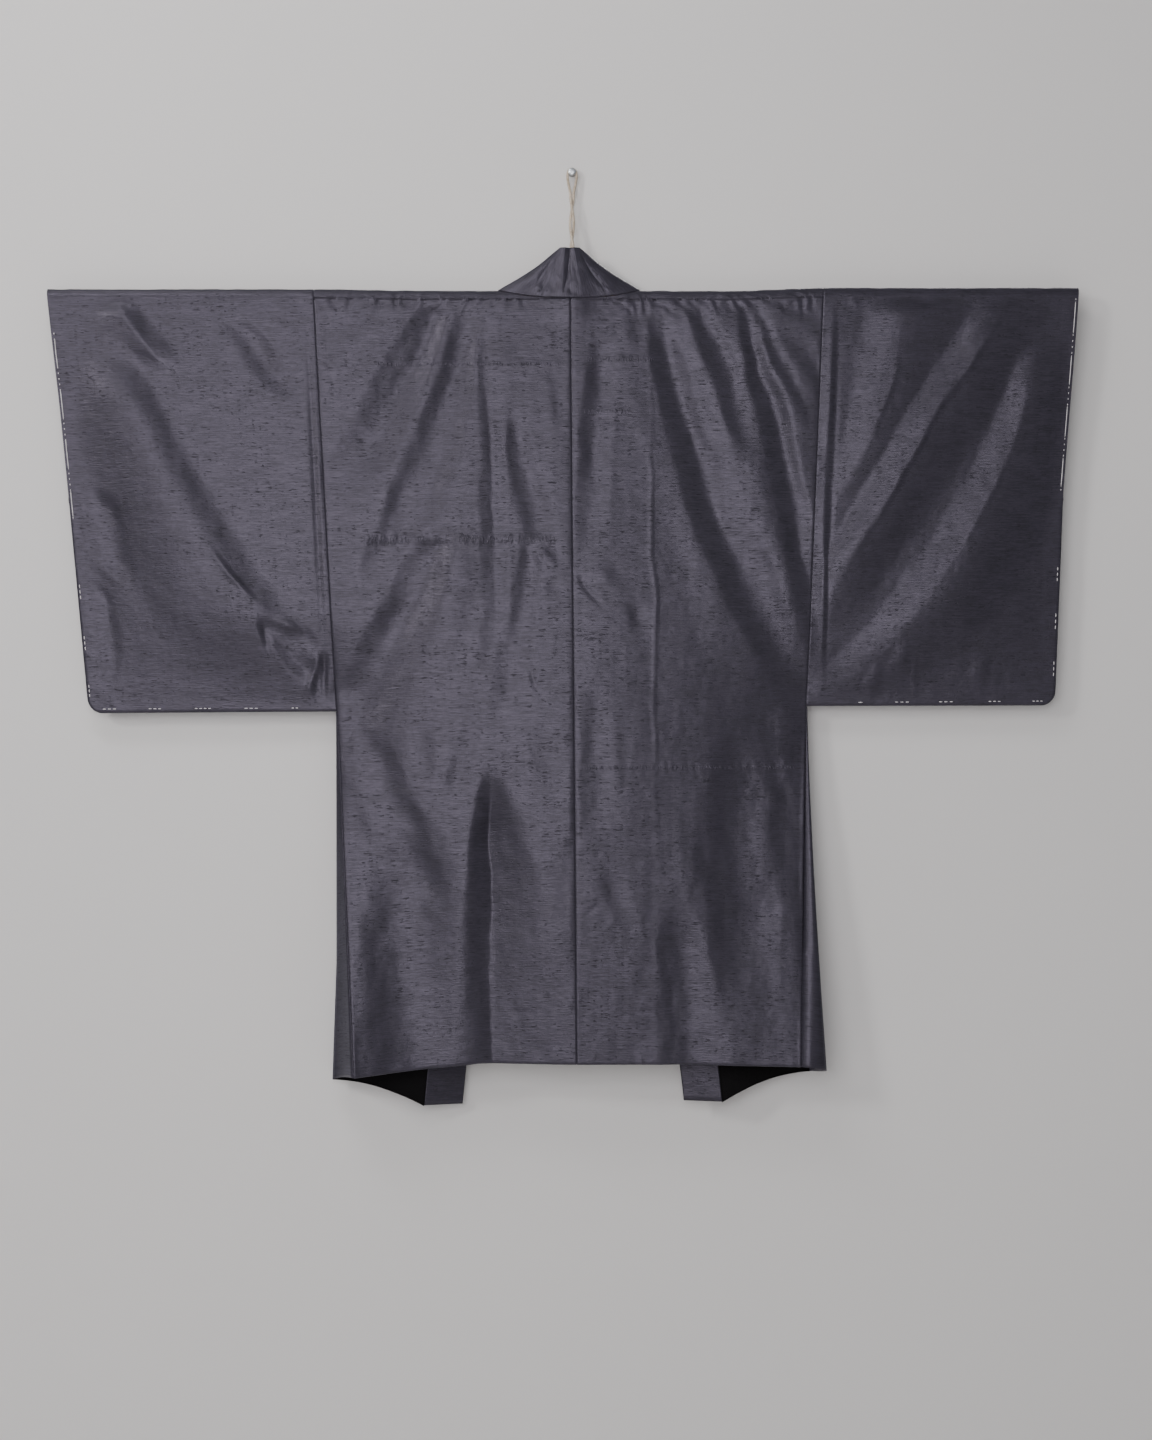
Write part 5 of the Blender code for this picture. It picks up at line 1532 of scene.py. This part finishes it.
def build_cloth():
    # the lined silk paints the inside faces near black: the lining's colour and painted shade
    silk = silk_material("slub_silk")
    plain_silk = silk_material("slub_silk_doubled", lined_and_shaded=False)
    thread = thread_material()
    for number, side in enumerate(SIDES):
        shift = 5.0 * number
        name = side.name
        sections = body_sections(side)
        body = cloth_piece(f"body_panel_{name}", sections, CLOTH, silk, (shift, 0.3))
        sections = sleeve_sections(side)
        closing = sleeve_closing(sections)
        offset = (shift + 1.1, 0.7)
        sleeve = cloth_piece(f"sleeve_cloth_{name}", sections, CLOTH, silk, offset, closing)
        sections = gusset_sections(side)
        offset = (shift + 2.3, 0.1)
        gusset = cloth_piece(f"gusset_cloth_{name}", sections, CLOTH, plain_silk, offset)
        for piece, node in ((body, "body"), (sleeve, "sleeve"), (gusset, "gusset")):
            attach(piece, "root")
            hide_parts(f"{node}_{side.name}")
        basting = build_basting(side, thread)
    collar = cloth_piece("collar_band", collar_sections(), COLLAR_CLOTH, plain_silk, (12.0, 0.2))
    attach(collar, "root")
    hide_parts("collar")


def finish_hardware(nodes):
    finishes = {"rod": pine_material(), "screw": zinc_material(), "wall_plug": plug_material()}
    for name, finish in finishes.items():
        nodes[name].data.materials.clear()
        nodes[name].data.materials.append(finish)


# Stage: a floor and a wall that is seen from its front alone and just behind the plane y = 0
STAGE_HALF = 4.0
FLOOR_Z = -1.75
WALL_TOP = 2.4
WALL_Y = 0.0004
PALE = (0.80, 0.79, 0.775)
STAGE_CLOUD = 0.5
STAGE_DARKER = 0.965


def stage_material(name, color, one_sided):
    made = Nodes(name)
    cloudy = object_noise(made, STAGE_CLOUD, STAGE_CLOUD, STAGE_CLOUD, 3)
    low = tuple(STAGE_DARKER * value for value in color)
    made.link(made.mix(cloudy, low, color), made.shader.inputs["Base Color"])
    made.plain(Roughness=0.9, Specular_IOR_Level=0.2)
    if one_sided:
        output = made.tree.nodes["Material Output"]
        behind = made.node("ShaderNodeNewGeometry").outputs["Backfacing"]
        clear = made.node("ShaderNodeBsdfTransparent")
        choice = made.node("ShaderNodeMixShader")
        made.link(behind, choice.inputs[0])
        made.link(made.shader.outputs[0], choice.inputs[1])
        made.link(clear.outputs[0], choice.inputs[2])
        made.link(choice.outputs[0], output.inputs["Surface"])
    return made.material


def plane(name, corners, finish):
    made = made_mesh(name, corners, [(0, 1, 2, 3)], finish)
    return made


def build_stage():
    s, low = STAGE_HALF, FLOOR_Z
    plane(
        "floor",
        [(-s, -s, low), (s, -s, low), (s, s, low), (-s, s, low)],
        stage_material("pale_floor", PALE, False),
    )
    wall = plane(
        "backdrop",
        [(-s, WALL_Y, low), (s, WALL_Y, low), (s, WALL_Y, WALL_TOP), (-s, WALL_Y, WALL_TOP)],
        stage_material("pale_backdrop", PALE, True),
    )
    wall.visible_shadow = wall.visible_diffuse = False
    wall.visible_glossy = wall.visible_transmission = False


# Lamps: where each stands and aims, in metres, its size, its power in watts and its colour; then
# the world's strength as light and as seen by the camera
Lamp = namedtuple("Lamp", "name place aim width height power color")
LAMPS = (
    Lamp("softbox", (-0.610, -3.30, -0.26), (-0.30, 0.0, -0.58), 2.05, 1.6, 47.5, (1.0, 0.97, 1.0)),
    Lamp("key", (-2.3, -2.3, 0.55), (0.1, 0.0, -0.60), 0.5, 0.5, 26, (1.0, 0.97, 0.96)),
    Lamp("fill", (2.6, -2.2, 0.6), (0.0, 0.0, -0.7), 2.2, 2.2, 3.4, (0.95, 0.97, 1.0)),
    Lamp("above", (-0.8, -1.35, 1.20), (-0.1, 0.0, -0.17), 1.4, 0.45, 14, (1.0, 0.98, 1.0)),
    Lamp("top", (-0.8, -0.2, 1.6), (-0.2, 0.0, -0.16), 1.2, 0.5, 4, (1.0, 0.98, 1.0)),
    Lamp("behind", (0.8, 3.0, 0.9), (0.0, 0.0, -0.7), 2.0, 2.0, 48, (1.0, 0.98, 0.96)),
)
WORLD_LIGHT = 0.17
WORLD_SEEN = 0.80


def build_light():
    for lamp in LAMPS:
        data = bpy.data.lights.new(lamp.name, "AREA")
        data.shape = "RECTANGLE"
        data.size, data.size_y = lamp.width, lamp.height
        data.energy = lamp.power
        data.color = lamp.color
        made = bpy.data.objects.new(lamp.name, data)
        bpy.context.scene.collection.objects.link(made)
        made.location = lamp.place
        aim = np.array(lamp.aim) - np.array(lamp.place)
        made.rotation_euler = (
            math.atan2(math.hypot(aim[0], aim[1]), -aim[2]), 0, math.atan2(-aim[0], aim[1])
        )
    world = bpy.data.worlds.new("studio")
    bpy.context.scene.world = world
    world.use_nodes = True
    tree = world.node_tree
    background = tree.nodes["Background"]
    background.inputs["Color"].default_value = (0.97, 0.98, 1.0, 1)
    ray = tree.nodes.new("ShaderNodeLightPath")
    strength = tree.nodes.new("ShaderNodeMapRange")
    strength.inputs["To Min"].default_value = WORLD_LIGHT
    strength.inputs["To Max"].default_value = WORLD_SEEN
    tree.links.new(ray.outputs["Is Camera Ray"], strength.inputs["Value"])
    tree.links.new(strength.outputs["Result"], background.inputs["Strength"])


def main():
    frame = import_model()
    build_camera()
    build_twine()
    build_cloth()
    finish_hardware(frame["nodes"])
    build_stage()
    build_light()
    bpy.context.view_layer.update()


main()
